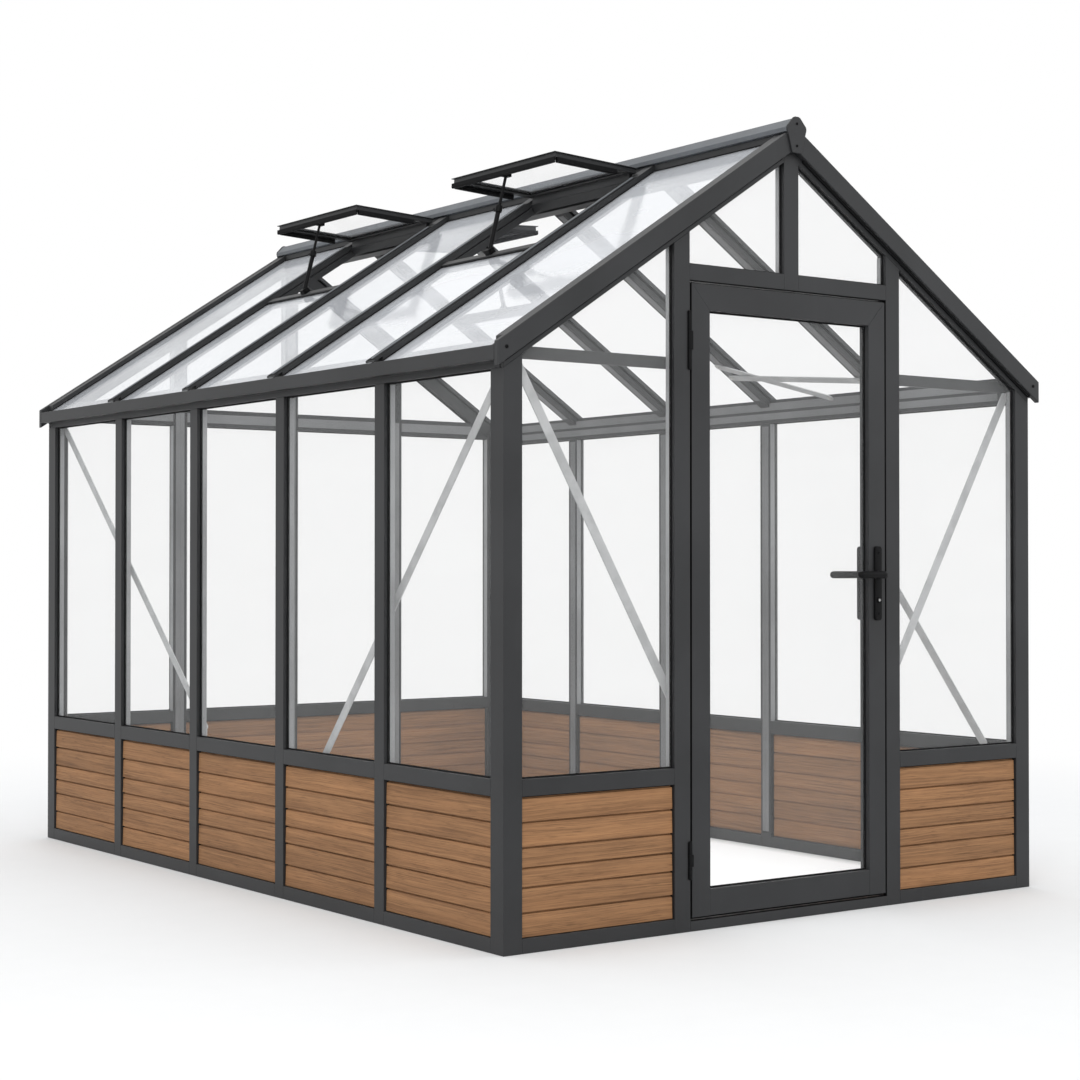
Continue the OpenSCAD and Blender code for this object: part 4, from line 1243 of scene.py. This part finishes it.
class GREENHOUSE_OT_door_furniture(bpy.types.Operator):
    """Hinges, backplates with a lock case and core, the bent lever, and the rubber round the door, whose
    black in the gaps is partly painted shade
    """

    bl_idname = "greenhouse.door_furniture"
    bl_label = "Door furniture"
    plate_depth = 0.008
    case_depth = 0.026
    case_widening = 1.75
    neck_drop = 0.090
    lock_drop = 0.080
    screw_inset = 0.020
    grip_radius = 0.0115
    grip_bend = 0.016
    lip = 0.0038
    hinge_gap = 0.004
    shade_lining_rise = 0.0009

    def execute(self, context):
        colours = chosen(context)[1]
        black = satin_black("furniture_black", colours.ironwork)
        steel = bright_steel("lock_steel", colours.steel)
        dress(["hinge_leaves", "hinge_knuckles", "handle_plates", "lever"], black)
        for name in ("hinge_leaves", "hinge_knuckles"):
            soften(name, 0.0005)
        self.backplates(black, steel)
        self.levers(black)
        self.hinge_pins(black)
        rubber = gasket_rubber("door_rubber", colours.rubber)
        self.seal(rubber)
        self.rebate(rubber)
        return {"FINISHED"}

    def backplates(self, black, steel):
        """A slim plate outside and a deeper lock case inside, each with its rose, screws and lock."""
        bm, core = bmesh.new(), bmesh.new()
        inner, outer = sorted((corners(points) for points in solids("handle_plates")),
                              key=lambda box: -box[0].y)
        for (low, high), out, deep, widening in ((outer, -1.0, self.plate_depth, 1.0),
                                                 (inner, 1.0, self.case_depth, self.case_widening)):
            seat = face_of(low, high, 1, -out)
            x, half = (low.x + high.x) / 2, (high.x - low.x) / 2
            self.plate(bm, x, seat, out, widening * half, deep, low.z, high.z)
            neck = high.z - self.neck_drop
            lock = neck - self.lock_drop
            front = seat + out * deep
            turned(bm, (x, front, neck), (0, out, 0),
                   [(0.0135, -0.0005), (0.0135, 0.0016), (0.0126, 0.0030), (0.0100, 0.0036)], 32)
            for z in (high.z - self.screw_inset, low.z + self.screw_inset):
                pan_screw(bm, (x, front, z), (0, out, 0), 0.0042)
            turned(bm, (x, front, lock), (0, out, 0),
                   [(0.0088, -SUNK), (0.0088, 0.0026), (0.0082, 0.0036), (0.0056, 0.0040),
                    (0.0050, 0.0030), (0.0020, 0.0029)], 32)
            turned(core, (x, front, lock), (0, out, 0),
                   [(0.0044, 0.0024), (0.0044, 0.0036), (0.0038, 0.0040), (0.0010, 0.0040)], 24)
            self.key_slot(bm, x, front + out * 0.0038, lock, out)
        plates = piece_from(bm, "backplates", black, "door", 28.0)
        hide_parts("handle_plates")
        piece_from(core, "lock_cores", steel, "door", 28.0)

    def plate(self, bm, x, seat, out, half, deep, z0, z1):
        """A long plate with round corners and a softened face."""
        bow = 0.009

        def outline(shrink, depth):
            r = bow - shrink
            points = []
            for cx, cz, turn in ((half - bow, z1 - bow, 0.0), (bow - half, z1 - bow, 0.5),
                                 (bow - half, z0 + bow, 1.0), (half - bow, z0 + bow, 1.5)):
                for i in range(9):
                    angle = math.pi * (turn + i / 16)
                    points.append(Vector((x + cx + r * math.cos(angle), seat + out * depth,
                                          cz + r * math.sin(angle))))
            return points

        loft(bm, [outline(0.0, 0.0), outline(0.0, deep - 0.0028), outline(0.0006, deep - 0.0014),
                  outline(0.0018, deep - 0.0004), outline(0.0034, deep)])

    def key_slot(self, bm, x, y, z, out):
        loft(bm, [[Vector((x + a, y + out * d, z + b)) for a, b in
                   ((-0.0008, -0.0036), (0.0008, -0.0036), (0.0008, 0.0012), (0.0017, 0.0026), (0.0, 0.0042),
                    (-0.0017, 0.0026), (-0.0008, 0.0012))] for d in (0.0, 0.0006)])

    def levers(self, black):
        """Both bent grips on one spindle, each with a collar on its plate."""
        low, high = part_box("lever")
        mid = (low[1] + high[1]) / 2
        radius, bend = self.grip_radius, self.grip_bend
        x = high[0] - (high[2] - low[2]) / 2
        z = (low[2] + high[2]) / 2
        bm = bmesh.new()
        for out, reach, collar in ((-1.0, mid - low[1], 0.0283),
                                   (1.0, high[1] - mid, 0.0203 + self.case_depth)):
            y = mid + out * (reach - radius)
            path = [(x, mid + out * 0.0005, z), (x, y - out * bend, z)]
            for i in range(1, 9):
                angle = 0.5 * math.pi * i / 8
                path.append((x - bend * (1 - math.cos(angle)), y - out * bend * (1 - math.sin(angle)), z))
            path.append((low[0] + radius, y, z))
            swept(bm, path, radius)
            turned(bm, (x, mid + out * collar, z), (0, out, 0),
                   [(0.0100, 0.0), (0.0132, 0.0006), (0.0136, 0.0040), (0.0122, 0.0060),
                    (0.0108, 0.0064)], 32)
        grips = piece_from(bm, "lever_grips", black, "lever", 40.0)
        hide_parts("lever")

    def hinge_pins(self, black):
        bm = bmesh.new()
        for points in solids("hinge_leaves"):
            low, high = corners(points)
            for z, up in ((high.z, 1.0), (low.z, -1.0)):
                turned(bm, (low.x + 0.005, low.y + 0.005, z), (0, 0, up),
                       [(0.0048, -SUNK), (0.0050, 0.0012), (0.0042, 0.0030), (0.0022, 0.0042),
                        (0.0004, 0.0046)], 20)
        piece_from(bm, "hinge_pins", black, "house")

    def beside_hinges(self, foot, head):
        """The spans of the hinge side that the hinges leave free."""
        spans = []
        hinges = sorted((corners(points) for points in solids("hinge_knuckles")), key=lambda box: box[0].z)
        for start, end in hinges:
            spans.append((foot, start.z - self.hinge_gap))
            foot = end.z + self.hinge_gap
        return spans + [(foot, head)]

    def shade_lining(self, bm, face, rise, span, upright):
        """A thin ribbed black strip on one face of the gap, behind the leaf's outer face: painted shade on
        that face.
        """
        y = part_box("door_stiles")[0][1]
        shape = ((0.0010, 0.0), (0.0014, 0.7), (0.0042, 1.0), (0.0056, 0.6), (0.0084, 1.0), (0.0098, 0.6),
                 (0.0128, 1.0), (0.0146, 0.7), (0.0150, 0.0))
        loft(bm, [[(face + rise * up, y + deep, at) if upright else (at, y + deep, face + rise * up)
                   for deep, up in shape] for at in span])

    def seal(self, rubber):
        """Rubber lips and linings round the leaf, left out beside the hinges; a real seal whose black also
        stands as painted shade in the gap.
        """
        low, high = (Vector(corner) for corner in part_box("door_stiles"))
        y0, y1 = low.y + 0.016, low.y + 0.026
        uprights = [(high.x, self.lip, low.z, high.z)]
        uprights += [(low.x, -self.lip, *span) for span in self.beside_hinges(low.z, high.z)]
        bm = bmesh.new()
        for x, reach, z0, z1 in uprights:
            self.shade_lining(bm, x, math.copysign(self.shade_lining_rise, reach), (z0, z1), True)
            loft(bm, [[(x, y0, z), (x + 0.75 * reach, y0 + 0.001, z), (x + reach, y0 + 0.004, z),
                       (x + 0.7 * reach, y1 - 0.001, z), (x, y1, z)] for z in (z0, z1)])
        for z, reach in ((high.z, 0.0050), (low.z, -0.0078)):
            loft(bm, [[(x, y0, z), (x, y0 + 0.001, z + 0.75 * reach), (x, y0 + 0.004, z + reach),
                       (x, y1 - 0.001, z + 0.7 * reach), (x, y1, z)] for x in (low.x, high.x)])
        piece_from(bm, "door_seal", rubber, "door", 25.0)

    def rebate(self, rubber):
        """Black rubber strips on posts, lintel and threshold round the leaf: painted shade in the gap."""
        left, right = (corners(points) for points in solids("door_posts"))
        x0, x1 = left[1].x, right[0].x
        foot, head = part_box("threshold")[1][2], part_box("lintels")[0][2]
        bm = bmesh.new()
        for span in self.beside_hinges(foot, head):
            self.shade_lining(bm, x0, self.shade_lining_rise, span, True)
        self.shade_lining(bm, x1, -self.shade_lining_rise, (foot, head), True)
        self.shade_lining(bm, foot, self.shade_lining_rise, (x0, x1), False)
        self.shade_lining(bm, head, -self.shade_lining_rise, (x0, x1), False)
        piece_from(bm, "door_rebate", rubber, "house", 25.0)


class GREENHOUSE_PT_panel(bpy.types.Panel):
    """Lists the greenhouse's finishes and fine parts"""

    bl_idname = "GREENHOUSE_PT_panel"
    bl_label = "Greenhouse"
    bl_space_type = "VIEW_3D"
    bl_region_type = "UI"
    bl_category = "Greenhouse"

    def draw(self, context):
        for group in (context.scene.greenhouse_sizes, context.scene.greenhouse_colours):
            column = self.layout.column()
            for name in type(group).__annotations__:
                column.prop(group, name)
        for operator in OPERATORS:
            self.layout.operator(operator.bl_idname)


OPERATORS = (
    GREENHOUSE_OT_stage,
    GREENHOUSE_OT_profiles,
    GREENHOUSE_OT_glazing,
    GREENHOUSE_OT_gaskets,
    GREENHOUSE_OT_boards,
    GREENHOUSE_OT_beads,
    GREENHOUSE_OT_liners,
    GREENHOUSE_OT_vent_rims,
    GREENHOUSE_OT_roof_trim,
    GREENHOUSE_OT_roof_ties,
    GREENHOUSE_OT_braces,
    GREENHOUSE_OT_frame_screws,
    GREENHOUSE_OT_stays,
    GREENHOUSE_OT_door_furniture,
)
CLASSES = (GreenhouseSizes, GreenhouseColours, *OPERATORS, GREENHOUSE_PT_panel)


def register():
    for entry in CLASSES:
        bpy.utils.register_class(entry)
    bpy.types.Scene.greenhouse_sizes = PointerProperty(type=GreenhouseSizes)
    bpy.types.Scene.greenhouse_colours = PointerProperty(type=GreenhouseColours)


def unregister():
    del bpy.types.Scene.greenhouse_colours
    del bpy.types.Scene.greenhouse_sizes
    for entry in reversed(CLASSES):
        bpy.utils.unregister_class(entry)


def main():
    register()
    bpy.ops.greenhouse.stage()
    bpy.ops.greenhouse.profiles()
    bpy.ops.greenhouse.glazing()
    bpy.ops.greenhouse.gaskets()
    bpy.ops.greenhouse.boards()
    bpy.ops.greenhouse.beads()
    bpy.ops.greenhouse.liners()
    bpy.ops.greenhouse.vent_rims()
    bpy.ops.greenhouse.roof_trim()
    bpy.ops.greenhouse.roof_ties()
    bpy.ops.greenhouse.braces()
    bpy.ops.greenhouse.frame_screws()
    bpy.ops.greenhouse.stays()
    bpy.ops.greenhouse.door_furniture()
    bpy.context.view_layer.update()


if __name__ == "__main__":
    main()
